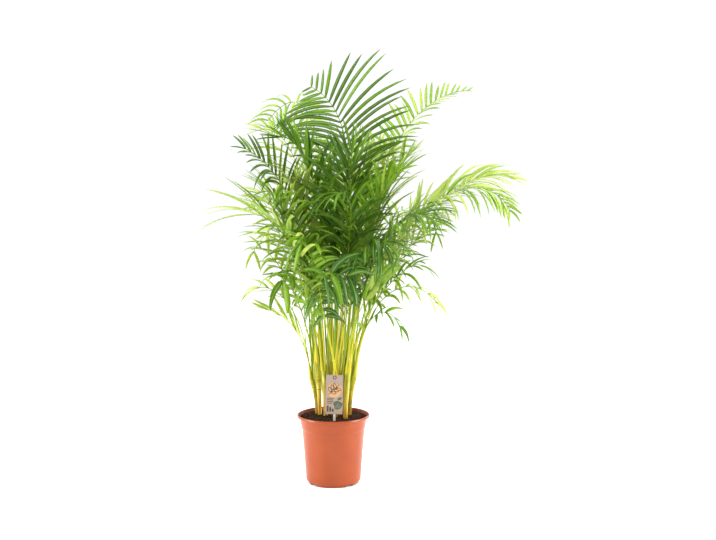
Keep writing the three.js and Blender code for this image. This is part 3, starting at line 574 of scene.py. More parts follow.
@dataclass(frozen=True)
class PeatFinish:
    """Potting mix: dark damp peat with lighter fibre and bark, dull all over."""

    peat: str = "#130c07"
    loam: str = "#23180f"
    bark: str = "#463020"
    roughness: float = 0.92
    clod_pitch: float = 9.0 * MM
    grit_pitch: float = 1.2 * MM

    def make(self) -> bpy.types.Material:
        """Builds the potting mix's material."""
        material = bpy.data.materials.new("Potting mix, damp peat and bark")
        material.use_nodes = True
        tree = material.node_tree
        tree.nodes.clear()
        add = partial(add_node, tree)
        place = add("ShaderNodeTexCoord")
        crumb = add("ShaderNodeAttribute", attribute_name="crumb")
        clod = add("ShaderNodeTexNoise", {"Vector": place.outputs["Object"], "Scale": 1 / self.clod_pitch, "Detail": 6.0})
        grit = add("ShaderNodeTexNoise", {"Vector": place.outputs["Object"], "Scale": 1 / self.grit_pitch, "Detail": 3.0})
        base = add("ShaderNodeMath", {0: clod, 1: crumb.outputs["Fac"]}, operation="ADD")
        ramp = add("ShaderNodeValToRGB", {0: base})
        ramp.color_ramp.elements[0].position = 0.3
        ramp.color_ramp.elements[0].color = linear(self.peat)
        ramp.color_ramp.elements[1].position = 1.25 / 1.3
        ramp.color_ramp.elements[1].color = linear(self.bark)
        ramp.color_ramp.elements.new(0.62).color = linear(self.loam)
        bump = add("ShaderNodeBump", {"Strength": 0.8, "Distance": 0.0012, "Height": grit})
        skin = add(
            "ShaderNodeBsdfPrincipled",
            {"Base Color": ramp, "Roughness": self.roughness, "Specular IOR Level": 0.1, "Normal": bump},
        )
        add("ShaderNodeOutputMaterial", {"Surface": skin})
        return material


@dataclass(frozen=True)
class SheetFinish:
    """Printed or plain polypropylene sheet: a smooth card under a thin varnish, with faint handling marks."""

    title: str
    colour: str
    tinge: str
    roughness: float = 0.38
    cloud_pitch: float = 12.0 * MM

    def make(self) -> bpy.types.Material:
        """Builds a material for a card, its ink or its stake."""
        material = bpy.data.materials.new(self.title)
        material.use_nodes = True
        tree = material.node_tree
        tree.nodes.clear()
        add = partial(add_node, tree)
        place = add("ShaderNodeTexCoord")
        cloud = add("ShaderNodeTexNoise", {"Vector": place.outputs["Object"], "Scale": 1 / self.cloud_pitch, "Detail": 4.0})
        colour = add("ShaderNodeMix", {"Factor": cloud, "A": linear(self.colour), "B": linear(self.tinge)}, data_type="RGBA")
        gloss = add("ShaderNodeMapRange", {0: cloud, "To Min": self.roughness - 0.08, "To Max": self.roughness + 0.08})
        skin = add("ShaderNodeBsdfPrincipled", {"Base Color": colour, "Roughness": gloss})
        add("ShaderNodeOutputMaterial", {"Surface": skin})
        return material


# ---------------------------------------------------------------------------------------------------
# Pot


@dataclass
class NurseryPot:
    """The moulded pot: rolled lip, flared band with a step under it, tapered body and drain slots."""

    height: float = 207
    rim_radius: float = 109
    lip_height: float = 9
    lip_root: float = 101.5
    band_height: float = 40
    band_radius: float = 95.5
    shoulder_radius: float = 93.5
    foot_radius: float = 80
    foot_height: float = 9
    foot_step: float = 1.5
    wall: float = 1.6
    slots: int = 4
    slot_turn: float = 40
    slot_width: float = 24
    slot_height: float = 5
    slot_inner: float = 66
    segments: int = 144

    def outer(self) -> list[Point3]:
        """Outer half section from the underside to the rim, as radius, height and corner rounding."""
        return [
            (self.foot_radius - 8, 0, 0),
            (self.foot_radius - 4.5, 0.8, 1.2),
            (self.foot_radius - 0.3, self.foot_height, 0.6),
            (self.foot_radius + self.foot_step, self.foot_height + 2, 0.8),
            (self.shoulder_radius, self.height - self.band_height - 3, 1.0),
            (self.band_radius, self.height - self.band_height, 1.0),
            (self.lip_root - 2, self.height - self.lip_height - 6, 1.5),
            (self.lip_root, self.height - self.lip_height, 0.8),
            (self.rim_radius - 1, self.height - self.lip_height + 1.4, 1.2),
            (self.rim_radius, self.height - self.lip_height / 2, 1.5),
            (self.rim_radius - 1.5, self.height, 1.6),
            (self.rim_radius - 4.5, self.height, 1.4),
        ]

    def inner_radius(self, level: float) -> float:
        """Inner radius of the wall at a height under the lip."""
        section = self.outer()
        above = next(i for i, (_, height, _) in enumerate(section) if height > level)
        (low_radius, low, _), (high_radius, high, _) = section[above - 1], section[above]
        share = (level - low) / (high - low)
        return low_radius + (high_radius - low_radius) * share - self.wall

    def section(self) -> list[Point3]:
        """Whole half section of the shell, from the axis round the rim and back to the axis."""
        lip = self.height - self.lip_height
        inner = [
            (self.inner_radius(lip - 1) + 2.5, lip + 3, 2.0),
            (self.inner_radius(lip - 8), lip - 8, 1.0),
            (self.inner_radius(self.height - self.band_height), self.height - self.band_height, 1.0),
            (self.inner_radius(self.foot_height + 3), self.foot_height + 3, 1.0),
            (self.inner_radius(self.wall), self.wall, 1.0),
        ]
        return [(0, 0, 0), *self.outer(), *inner, (0, self.wall, 0)]

    @staticmethod
    def rounded(section: list[Point3], steps: int = 4) -> list[Point2]:
        """Rounds the corners of a half section.

        Args:
            section: Corners as radius, height and rounding.
            steps: Straight stretches in each rounded corner.

        Returns:
            The outline's points as radius and height.
        """
        points: list[Point2] = []
        for i, (radius, height, rounding) in enumerate(section):
            corner = Vector((radius, height))
            if not rounding:
                points.append((radius, height))
                continue
            before = Vector(section[i - 1][:2]) - corner
            after = Vector(section[i + 1][:2]) - corner
            start = corner + before * min(0.45, rounding / before.length)
            end = corner + after * min(0.45, rounding / after.length)
            for step in range(steps + 1):
                share = step / steps
                place = start.lerp(corner, share).lerp(corner.lerp(end, share), share)
                points.append((place.x, place.y))
        return points

    def shell(self) -> bpy.types.Mesh:
        """Turns the half section about the pot's axis."""
        outline = self.rounded(self.section())
        rings = outline[1:-1]
        points: list[Point3] = [(0, 0, outline[0][1]), (0, 0, outline[-1][1])]
        for radius, height in rings:
            for step in range(self.segments):
                turn = 2 * math.pi * step / self.segments
                points.append((radius * math.cos(turn), radius * math.sin(turn), height))
        faces: list[tuple[int, ...]] = []
        for step in range(self.segments):
            after = (step + 1) % self.segments
            for ring in range(len(rings) - 1):
                low, high = 2 + ring * self.segments, 2 + (ring + 1) * self.segments
                faces.append((low + step, low + after, high + after, high + step))
            last = 2 + (len(rings) - 1) * self.segments
            faces.append((0, 2 + after, 2 + step))
            faces.append((1, last + step, last + after))
        return smooth_mesh("nursery_pot_shell", points, faces)

    def cutter(self) -> bpy.types.Object:
        """One body that holds the boxes of all the drain slots."""
        boxes = bmesh.new()
        inner, outer = self.slot_inner * MM, (self.foot_radius + 6) * MM
        for i in range(self.slots):
            made = bmesh.ops.create_cube(boxes, size=1.0)["verts"]
            size = (outer - inner, self.slot_width * MM, 2 * self.slot_height * MM)
            bmesh.ops.scale(boxes, vec=size, verts=made)
            bmesh.ops.translate(boxes, vec=((inner + outer) / 2, 0, 0), verts=made)
            turn = math.radians(self.slot_turn) + i * 2 * math.pi / self.slots
            bmesh.ops.rotate(boxes, cent=(0, 0, 0), matrix=_turn(turn), verts=made)
        mesh = bpy.data.meshes.new("slot_cutter")
        boxes.to_mesh(mesh)
        boxes.free()
        return show(mesh, "slot_cutter")

    def build(self) -> bpy.types.Object:
        """Makes the pot and dresses it."""
        pot = show(self.shell(), "pot_shell")
        cutter = self.cutter()
        cut = pot.modifiers.new("drain slots", "BOOLEAN")
        cut.object = cutter
        cut.operation = "DIFFERENCE"
        cut.solver = "EXACT"
        mesh = bpy.data.meshes.new_from_object(pot.evaluated_get(bpy.context.evaluated_depsgraph_get()))
        pot.modifiers.clear()
        pot.data = mesh
        bpy.data.objects.remove(cutter)
        mesh.materials.clear()
        mesh.materials.append(PotFinish().make())
        mesh.shade_smooth_by_angle(angle=math.radians(35)) if hasattr(mesh, "shade_smooth_by_angle") else None
        seat(pot, "pot", "nursery_pot")
        return pot


def _turn(angle: float) -> Any:
    """Rotation about Z."""
    from mathutils import Matrix

    return Matrix.Rotation(angle, 3, "Z")


# ---------------------------------------------------------------------------------------------------
# Soil


@dataclass
class PottingSoil:
    """The filled mix: a low uneven mound with crumbs of peat and bark lying on it."""

    pot: NurseryPot
    edge_height: float = 198
    mound: float = 7
    bump: float = 1.6
    segments: int = 120
    rings: int = 36
    seed: int = 5

    def reach(self) -> float:
        """Radius of the soil's top."""
        return self.pot.inner_radius(self.edge_height) - GAP - 0.6

    def level(self, x: float, y: float) -> float:
        """Height of the mound at a point."""
        share = min(1, math.hypot(x, y) / self.pot.inner_radius(self.edge_height))
        clods = math.sin(x * 0.19 + 1.3) * math.cos(y * 0.23) + 0.6 * math.sin(x * 0.41 - y * 0.37 + 2.1)
        return self.edge_height + self.mound * (1 - share**2) + self.bump * clods * (1 - share**6)

    def body(self) -> bpy.types.Mesh:
        """The closed body of soil, with a finely uneven top."""
        top = self.reach()
        floor = self.pot.wall + GAP
        foot = self.pot.inner_radius(self.pot.foot_height) - 2 - GAP
        levels = (self.pot.foot_height + 4, self.pot.height - self.pot.band_height - 4)
        walls = [(foot - 6, floor), *((self.pot.inner_radius(z) - GAP - 0.6, z) for z in levels), (top, self.edge_height - 3)]
        points: list[Point3] = [(0, 0, floor), (0, 0, self.level(0, 0))]
        radii = [top * (1 - ring / self.rings) for ring in range(self.rings)]
        for radius, height in walls:
            points += [(*self._round(radius, step), height) for step in range(self.segments)]
        for radius in radii:
            for step in range(self.segments):
                x, y = self._round(radius, step)
                grain = noise.fractal(Vector((x, y, 3.0)) * 0.16, 0.9, 2.1, 4)
                points.append((x, y, self.level(x, y) + 1.1 * grain))
        faces: list[tuple[int, ...]] = []
        count = len(walls) + len(radii)
        for step in range(self.segments):
            after = (step + 1) % self.segments
            for ring in range(count - 1):
                low, high = 2 + ring * self.segments, 2 + (ring + 1) * self.segments
                faces.append((low + step, low + after, high + after, high + step))
            last = 2 + (count - 1) * self.segments
            faces.append((0, 2 + after, 2 + step))
            faces.append((1, last + step, last + after))
        return smooth_mesh("potting_soil_body", points, faces)

    def _round(self, radius: float, step: int) -> Point2:
        """Point on a ring."""
        turn = 2 * math.pi * step / self.segments
        return radius * math.cos(turn), radius * math.sin(turn)

    def recipe(self) -> Recipe:
        """Tree that strews crumbs over the parts of a mesh that face up."""
        recipe = Recipe(
            "Peat crumbs",
            {"Density": "Float", "Crumb Size": "Float", "Reach": "Float", "Seed": "Int", "Material": "Material"},
        )
        add = partial(add_node, recipe.tree)
        given = recipe.given
        place = add("GeometryNodeInputPosition")
        facing = add("ShaderNodeSeparateXYZ", {0: add("GeometryNodeInputNormal")})
        upward = add("FunctionNodeCompare", {0: facing.outputs["Z"], 1: 0.4}, operation="GREATER_THAN")
        flat = add("ShaderNodeVectorMath", {0: place, 1: (1.0, 1.0, 0.0)}, operation="MULTIPLY")
        out = add("ShaderNodeVectorMath", {0: flat}, operation="LENGTH")
        inside = add("FunctionNodeCompare", {0: out, 1: given("Reach")}, operation="LESS_THAN")
        chosen = add("FunctionNodeBooleanMath", {0: upward, 1: inside}, operation="AND")
        strewn = add(
            "GeometryNodeDistributePointsOnFaces",
            {"Mesh": given("Geometry"), "Selection": chosen, "Density": given("Density"), "Seed": given("Seed")},
            distribute_method="RANDOM",
        )
        shape = add(
            "FunctionNodeRandomValue",
            {"Min": (0.35, 0.35, 0.2), "Max": (1.0, 0.8, 0.55), "Seed": given("Seed")},
            data_type="FLOAT_VECTOR",
        )
        size = add("ShaderNodeVectorMath", {0: shape, "Scale": given("Crumb Size")}, operation="SCALE")
        spin = add(
            "FunctionNodeRandomValue",
            {"Min": (-0.7, -0.7, 0.0), "Max": (0.7, 0.7, math.tau), "Seed": given("Seed")},
            data_type="FLOAT_VECTOR",
        )
        crumb = add("GeometryNodeMeshIcoSphere", {"Radius": 1.0, "Subdivisions": 2})
        placed = add(
            "GeometryNodeInstanceOnPoints",
            {"Points": strewn, "Instance": crumb, "Rotation": spin, "Scale": size},
        )
        kind = add("FunctionNodeRandomValue", {"Min": 0.0, "Max": 0.55, "Seed": given("Seed")}, data_type="FLOAT")
        marked = add(
            "GeometryNodeStoreNamedAttribute",
            {"Geometry": placed, "Name": "crumb", "Value": kind},
            data_type="FLOAT",
            domain="INSTANCE",
        )
        real = add("GeometryNodeRealizeInstances", {0: marked})
        rough = add("ShaderNodeTexNoise", {"Vector": place, "Scale": 420.0, "Detail": 1.0})
        centred = add("ShaderNodeVectorMath", {0: rough.outputs["Color"], 1: (0.5, 0.5, 0.5)}, operation="SUBTRACT")
        shift = add("ShaderNodeVectorMath", {0: centred, "Scale": given("Crumb Size")}, operation="SCALE")
        broken = add("GeometryNodeSetPosition", {"Geometry": real, "Offset": shift})
        ground = add("GeometryNodeSetMaterial", {"Geometry": given("Geometry"), "Material": given("Material")})
        litter = add("GeometryNodeSetMaterial", {"Geometry": broken, "Material": given("Material")})
        recipe.end(ground, litter)
        return recipe

    def build(self) -> bpy.types.Object:
        """Makes the soil and dresses it."""
        values = {
            "Density": 95000.0,
            "Crumb Size": 3.2 * MM,
            "Reach": (self.reach() - 3) * MM,
            "Seed": self.seed,
            "Material": PeatFinish().make(),
        }
        soil = self.recipe().make("soil_mix", values, self.body())
        seat(soil, "soil", "potting_soil")
        return soil


# ---------------------------------------------------------------------------------------------------
# Canes


@dataclass
class CaneClump:
    """The standing canes: slim ringed stems that swell a little under their crown of petioles."""

    soil: PottingSoil
    root_depth: float = 62
    foot_radius: float = 6.4
    top_radius: float = 7.2
    ring_pitch: float = 46
    ring_height: float = 0.35
    lean_share: float = 0.45
    spear_radius: float = 3.6
    spear_tip_radius: float = 0.8
    spear_root: float = 0.45
    spear_aside: float = 16
    spear_rise: float = 45

    def line(self, plan: CanePlan) -> tuple[Point3, Point3, Point3, Point3]:
        """Ends and handles of a cane's middle line, in millimetres."""
        x, y = plan.foot
        surface = self.soil.level(x, y)
        lean = (plan.top[2] - surface) * self.lean_share
        return (x, y, surface - self.root_depth), (x, y, surface), (x, y, surface + lean), plan.top

    def spear_line(self, plan: CanePlan) -> tuple[Vector, Vector, Vector, Vector]:
        """Ends and handles of a closed leaf, which leaves the side of its cane and stands up beside it."""
        share, tip = self.spear_root, Vector(plan.spear)
        start, low, high, end = (Vector(point) for point in self.line(plan))
        first, second, third = start.lerp(low, share), low.lerp(high, share), high.lerp(end, share)
        root = first.lerp(second, share).lerp(second.lerp(third, share), share)
        aside = (tip - root).to_2d().normalized() * self.spear_aside
        rise = root + Vector((aside.x, aside.y, self.spear_rise))
        return root, rise, rise.lerp(tip, 0.5), tip

    @staticmethod
    def spear_recipe() -> Recipe:
        """Tree that sweeps a closed leaf, a pleated spear that ends in a point."""
        recipe = Recipe(
            "Closed leaf",
            {
                "Root": "Vector",
                "Low Handle": "Vector",
                "High Handle": "Vector",
                "Tip": "Vector",
                "Radius": "Float",
                "Tip Radius": "Float",
                "Pleats": "Int",
                "Material": "Material",
            },
        )
        add = partial(add_node, recipe.tree)
        given = recipe.given
        bow = add(
            "GeometryNodeCurvePrimitiveBezierSegment",
            {
                "Resolution": 64,
                "Start": given("Root"),
                "Start Handle": given("Low Handle"),
                "End Handle": given("High Handle"),
                "End": given("Tip"),
            },
            mode="POSITION",
        )
        line = add("GeometryNodeResampleCurve", {"Curve": bow, "Count": 48})
        share = add("GeometryNodeSplineParameter").outputs["Factor"]
        late = add("ShaderNodeMath", {0: share, 1: 2.0}, operation="POWER")
        radius = add("ShaderNodeMapRange", {"Value": late, "To Min": given("Radius"), "To Max": given("Tip Radius")})
        marked = add(
            "GeometryNodeStoreNamedAttribute",
            {"Geometry": line, "Name": "along", "Value": share},
            data_type="FLOAT",
            domain="POINT",
        )
        pleated = add(
            "GeometryNodeCurveStar", {"Points": given("Pleats"), "Inner Radius": 0.84, "Outer Radius": 1.06}
        )
        swept = add(
            "GeometryNodeCurveToMesh",
            {"Curve": marked, "Profile Curve": pleated, "Scale": radius, "Fill Caps": True},
        )
        recipe.end(add("GeometryNodeSetMaterial", {"Geometry": swept, "Material": given("Material")}))
        return recipe

    def recipe(self) -> Recipe:
        """Tree that sweeps a ringed stem along its middle line."""
        recipe = Recipe(
            "Ringed cane",
            {
                "Start": "Vector",
                "Start Handle": "Vector",
                "End Handle": "Vector",
                "End": "Vector",
                "Foot Radius": "Float",
                "Top Radius": "Float",
                "Ring Pitch": "Float",
                "Ring Height": "Float",
                "Seed": "Int",
                "Material": "Material",
            },
        )
        add = partial(add_node, recipe.tree)
        given = recipe.given
        line = add(
            "GeometryNodeCurvePrimitiveBezierSegment",
            {
                "Resolution": 120,
                "Start": given("Start"),
                "Start Handle": given("Start Handle"),
                "End Handle": given("End Handle"),
                "End": given("End"),
            },
            mode="POSITION",
        )
        even = add("GeometryNodeResampleCurve", {"Curve": line, "Count": 130})
        spline = add("GeometryNodeSplineParameter")
        share, length = spline.outputs["Factor"], spline.outputs["Length"]
        swell = add("ShaderNodeFloatCurve", {"Value": share})
        points = swell.mapping.curves[0].points
        points[0].location, points[1].location = (0.0, 0.1), (1.0, 0.6)
        points.new(0.3, 0.0)
        points.new(0.88, 1.0)
        swell.mapping.update()
        radius = add(
            "ShaderNodeMapRange",
            {"Value": swell, "To Min": given("Foot Radius"), "To Max": given("Top Radius")},
        )
        start = add("FunctionNodeRandomValue", {"Max": given("Ring Pitch"), "ID": 0, "Seed": given("Seed")}, data_type="FLOAT")
        offset = add("ShaderNodeMath", {0: length, 1: start}, operation="ADD")
        lap = add("ShaderNodeMath", {0: offset, 1: given("Ring Pitch")}, operation="PINGPONG")
        ring = add(
            "ShaderNodeMapRange",
            {"Value": lap, "From Max": 1.8 * MM, "To Min": 1.0, "To Max": 0.0},
            interpolation_type="SMOOTHSTEP",
        )
        raised = add("ShaderNodeMath", {0: ring, 1: given("Ring Height"), 2: radius}, operation="MULTIPLY_ADD")
        along = add(
            "GeometryNodeStoreNamedAttribute",
            {"Geometry": even, "Name": "along", "Value": share},
            data_type="FLOAT",
            domain="POINT",
        )
        scarred = add(
            "GeometryNodeStoreNamedAttribute",
            {"Geometry": along, "Name": "ring", "Value": ring},
            data_type="FLOAT",
            domain="POINT",
        )
        section = add("GeometryNodeCurvePrimitiveCircle", {"Resolution": 16, "Radius": 1.0})
        swept = add(
            "GeometryNodeCurveToMesh",
            {"Curve": scarred, "Profile Curve": section, "Scale": raised, "Fill Caps": True},
        )
        dressed = add("GeometryNodeSetMaterial", {"Geometry": swept, "Material": given("Material")})
        recipe.end(dressed)
        return recipe

    def build_spear(self, number: int, plan: CanePlan, recipe: Recipe, finish: bpy.types.Material) -> None:
        """Makes the closed leaf of one cane.

        Args:
            number: The cane's number.
            plan: The cane.
            recipe: The tree of a closed leaf.
            finish: Its material.
        """
        root, low, high, tip = self.spear_line(plan)
        values = {
            "Root": root * MM,
            "Low Handle": low * MM,
            "High Handle": high * MM,
            "Tip": tip * MM,
            "Radius": self.spear_radius * MM,
            "Tip Radius": self.spear_tip_radius * MM,
            "Pleats": 6,
            "Material": finish,
        }
        seat(recipe.make(f"spear_{number:02d}", values), "frond")

    def build(self) -> None:
        """Makes every cane with its closed leaf."""
        recipe, spear_recipe = self.recipe(), self.spear_recipe()
        finish = CaneFinish().make()
        closed = StalkFinish("Closed palm leaf, pleated", "#9a9910", "#7b9312", "#477c18").make()
        for i, plan in enumerate(CANES, start=1):
            start, start_handle, end_handle, end = self.line(plan)
            values = {
                "Start": Vector(start) * MM,
                "Start Handle": Vector(start_handle) * MM,
                "End Handle": Vector(end_handle) * MM,
                "End": Vector(end) * MM,
                "Foot Radius": self.foot_radius * MM,
                "Top Radius": self.top_radius * MM,
                "Ring Pitch": self.ring_pitch * MM,
                "Ring Height": self.ring_height * MM,
                "Seed": i,
                "Material": finish,
            }
            cane = recipe.make(f"stem_{i:02d}", values)
            seat(cane, "cane", f"cane_{i:02d}")
            if plan.spear:
                self.build_spear(i, plan, spear_recipe, closed)


# ---------------------------------------------------------------------------------------------------
# Fronds


@dataclass
class FrondCrown:
    """The feather fronds: petiole, midrib and folded leaflets that sag under their own weight."""

    stalk_radius: float = 3.7
    tip_radius: float = 0.9
    sheath: float = 2.0
    stance: float = 0.5
    foot_spread: float = 3.9
    sunk: float = 6.0
    lift: float = 26.0
    inward: float = 0.5
    light_side: float = 0.25
    blade_thickness: float = 0.5
    fold: float = 0.3

    @staticmethod
    def heading(plan: FrondPlan) -> float:
        """Angle about Z in which a frond leaves its cane."""
        top = CANES[plan.cane].top
        return math.atan2(plan.tip[1] - top[1], plan.tip[0] - top[0])

    def foot(self, plan: FrondPlan) -> Vector:
        """Where a frond stands on its cane: those of one cane share its rim in the order of their headings."""
        mates = sorted((p for p in FRONDS if p.cane == plan.cane), key=self.heading)
        step = 2 * math.pi / len(mates)
        turns = [self.heading(mate) - i * step for i, mate in enumerate(mates)]
        pull = math.atan2(sum(map(math.sin, turns)), sum(map(math.cos, turns)))
        turn = pull + mates.index(plan) * step
        spread = self.foot_spread if len(mates) > 1 else 0
        return Vector(CANES[plan.cane].top) + Vector((math.cos(turn) * spread, math.sin(turn) * spread, GAP))

    def line(self, plan: FrondPlan) -> tuple[Vector, Vector, Vector, Vector]:
        """Ends and handles of a midrib, which leaves its cane nearly upright and passes its half-way point."""
        foot, half, tip = self.foot(plan), Vector(plan.half), Vector(plan.tip)
        run = (4 * half - 3 * foot - tip) / 3
        low = foot + Vector((run.x * self.stance, run.y * self.stance, run.z))
        high = (8 * half - foot - 3 * low - tip) / 3
        return foot, low, high, tip

    def pairs(self, plan: FrondPlan, steps: int = 24) -> int:
        """How many pairs of leaflets a frond has, by their pitch along its leafy part."""
        foot, low, high, tip = self.line(plan)
        line = interpolate_bezier(foot, low, high, tip, steps)
        length = sum((after - before).length for before, after in zip(line, line[1:]))
        return max(3, round(length * (1 - plan.bare) / plan.pitch))

    def recipe(self) -> Recipe:
        """Tree that sweeps the midrib and sets a folded blade on each side of every station."""
        recipe = Recipe(
            "Feather frond",
            {
                "Foot": "Vector",
                "Low Handle": "Vector",
                "High Handle": "Vector",
                "Tip": "Vector",
                "Face": "Vector",
                "Pairs": "Int",
                "Bare Share": "Float",
                "Leaflet Length": "Float",
                "Leaflet Width": "Float",
                "Leaflet Thickness": "Float",
                "Fold": "Float",
                "Droop": "Float",
                "Taper": "Float",
                "Lift": "Float",
                "Disorder": "Float",
                "Spread Low": "Float",
                "Spread High": "Float",
                "Stalk Radius": "Float",
                "Tip Radius": "Float",
                "Sheath": "Float",
                "Tint": "Float",
                "Seed": "Int",
                "Leaf": "Material",
                "Stalk": "Material",
            },
        )
        bow = add_node(
            recipe.tree,
            "GeometryNodeCurvePrimitiveBezierSegment",
            {
                "Resolution": 96,
                "Start": recipe.given("Foot"),
                "Start Handle": recipe.given("Low Handle"),
                "End Handle": recipe.given("High Handle"),
                "End": recipe.given("Tip"),
            },
            mode="POSITION",
        )
        line = add_node(recipe.tree, "GeometryNodeResampleCurve", {"Curve": bow, "Count": 64})
        stations = self._stations(recipe, line)
        recipe.end(self._midrib(recipe, line), self._leaflets(recipe, stations))
        return recipe

    @staticmethod
    def _midrib(recipe: Recipe, line: bpy.types.Node) -> bpy.types.Node:
        """Adds the nodes that sweep the tapering stalk along its line."""
        add = partial(add_node, recipe.tree)
        share = add("GeometryNodeSplineParameter").outputs["Factor"]
        eased = add("ShaderNodeMath", {0: share}, operation="SQRT")
        slim = add(
            "ShaderNodeMapRange",
            {"Value": eased, "To Min": recipe.given("Stalk Radius"), "To Max": recipe.given("Tip Radius")},
        )
        sheath = add(
            "ShaderNodeMapRange",
            {"Value": share, "From Max": 0.16, "To Min": recipe.given("Sheath"), "To Max": 0.0},
            interpolation_type="SMOOTHSTEP",
        )
        radius = add("ShaderNodeMath", {0: slim, 1: sheath}, operation="ADD")
        marked = add(
            "GeometryNodeStoreNamedAttribute",
            {"Geometry": line, "Name": "along", "Value": share},
            data_type="FLOAT",
            domain="POINT",
        )
        section = add("GeometryNodeCurvePrimitiveCircle", {"Resolution": 8, "Radius": 1.0})
        swept = add(
            "GeometryNodeCurveToMesh",
            {"Curve": marked, "Profile Curve": section, "Scale": radius, "Fill Caps": True},
        )
        return add("GeometryNodeSetMaterial", {"Geometry": swept, "Material": recipe.given("Stalk")})

    @staticmethod
    def _stations(recipe: Recipe, line: bpy.types.Node) -> bpy.types.Node:
        """Adds the nodes that set two points at every station and store how a leaflet leaves each."""
        add = partial(add_node, recipe.tree)
        given = recipe.given
        leafy = add("GeometryNodeTrimCurve", {"Curve": line, "Start": given("Bare Share")}, mode="FACTOR")
        points = add("GeometryNodeCurveToPoints", {"Curve": leafy, "Count": given("Pairs")}, mode="COUNT")
        last = add("ShaderNodeMath", {0: given("Pairs"), 1: 1.0}, operation="SUBTRACT")
        station = add("ShaderNodeMath", {0: add("GeometryNodeInputIndex"), 1: last}, operation="DIVIDE")
        marked = add(
            "GeometryNodeStoreNamedAttribute",
            {"Geometry": points, "Name": "station", "Value": station},
            data_type="FLOAT",
            domain="POINT",
        )
        both = add("GeometryNodeDuplicateElements", {"Geometry": marked, "Amount": 2}, domain="POINT")
        side = add("ShaderNodeMath", {0: both.outputs["Duplicate Index"], 1: 2.0, 2: -1.0}, operation="MULTIPLY_ADD")
        share = add("GeometryNodeInputNamedAttribute", {"Name": "station"}, data_type="FLOAT")
        along = points.outputs["Tangent"]

        def chance(low: float, high: float, shift: int) -> bpy.types.Node:
            """A random number for each leaflet, drawn from the frond's seed."""
            seed = add("ShaderNodeMath", {0: given("Seed"), 1: float(shift)}, operation="ADD")
            return add("FunctionNodeRandomValue", {"Min": low, "Max": high, "Seed": seed}, data_type="FLOAT")

        lean = add("ShaderNodeVectorMath", {0: given("Face"), 1: along}, operation="DOT_PRODUCT")
        fallen = add("ShaderNodeVectorMath", {0: along, "Scale": lean}, operation="SCALE")
        square = add("ShaderNodeVectorMath", {0: given("Face"), 1: fallen}, operation="SUBTRACT")
        upper = add("ShaderNodeVectorMath", {0: square}, operation="NORMALIZE")
        right = add("ShaderNodeVectorMath", {0: along, 1: upper}, operation="CROSS_PRODUCT")

        eased = add("ShaderNodeMath", {0: share, 1: 3.0}, operation="POWER")
        fan = add(
            "ShaderNodeMapRange",
            {"Value": eased, "To Min": given("Spread Low"), "To Max": given("Spread High")},
        )
        wide = add("ShaderNodeMath", {0: chance(-6.0, 6.0, 1), 1: given("Disorder"), 2: fan}, operation="MULTIPLY_ADD")
        angle = add("ShaderNodeMath", {0: wide}, operation="RADIANS")
        raised = add(
            "ShaderNodeMath",
            {0: chance(-9.0, 9.0, 2), 1: given("Disorder"), 2: given("Lift")},
            operation="MULTIPLY_ADD",
        )
        lift = add("ShaderNodeMath", {0: raised}, operation="RADIANS")

        level = add("ShaderNodeMath", {0: side, 1: add("ShaderNodeMath", {0: lift}, operation="COSINE")}, operation="MULTIPLY")
        sideways = add("ShaderNodeVectorMath", {0: right, "Scale": level}, operation="SCALE")
        rise = add("ShaderNodeMath", {0: lift}, operation="SINE")
        upward = add("ShaderNodeVectorMath", {0: upper, "Scale": rise}, operation="SCALE")
        outward = add("ShaderNodeVectorMath", {0: sideways, 1: upward}, operation="ADD")
        forward = add("ShaderNodeVectorMath", {0: along, "Scale": add("ShaderNodeMath", {0: angle}, operation="COSINE")}, operation="SCALE")
        off = add("ShaderNodeVectorMath", {0: outward, "Scale": add("ShaderNodeMath", {0: angle}, operation="SINE")}, operation="SCALE")
        heading = add("ShaderNodeVectorMath", {0: forward, 1: off}, operation="ADD")

        meet = add("ShaderNodeVectorMath", {0: heading, 1: along}, operation="DOT_PRODUCT")
        common = add("ShaderNodeVectorMath", {0: heading, "Scale": meet}, operation="SCALE")
        chord = add("ShaderNodeVectorMath", {0: along, 1: common}, operation="SUBTRACT")
        flat = add("ShaderNodeVectorMath", {0: chord}, operation="NORMALIZE")
        across = add(
            "ShaderNodeVectorRotate",
            {"Vector": flat, "Axis": heading, "Angle": chance(-0.3, 0.3, 3)},
            rotation_type="AXIS_ANGLE",
        )

        early = add("ShaderNodeMapRange", {"Value": share, "From Max": 0.385, "To Max": math.pi / 2})
        growth = add("ShaderNodeMath", {0: early}, operation="SINE")
        grown = add("ShaderNodeMath", {0: growth, 1: 0.34, 2: 0.66}, operation="MULTIPLY_ADD")
        late = add(
            "ShaderNodeMapRange",
            {"Value": share, "From Min": 0.66, "To Max": given("Taper")},
            interpolation_type="SMOOTHSTEP",
        )
        kept = add("ShaderNodeMath", {0: 1.0, 1: late}, operation="SUBTRACT")
        share_of_leaf = add("ShaderNodeMath", {0: grown, 1: kept}, operation="MULTIPLY")
        varied = add("ShaderNodeMath", {0: share_of_leaf, 1: chance(0.9, 1.06, 4)}, operation="MULTIPLY")
        length = add("ShaderNodeMath", {0: varied, 1: given("Leaflet Length")}, operation="MULTIPLY")

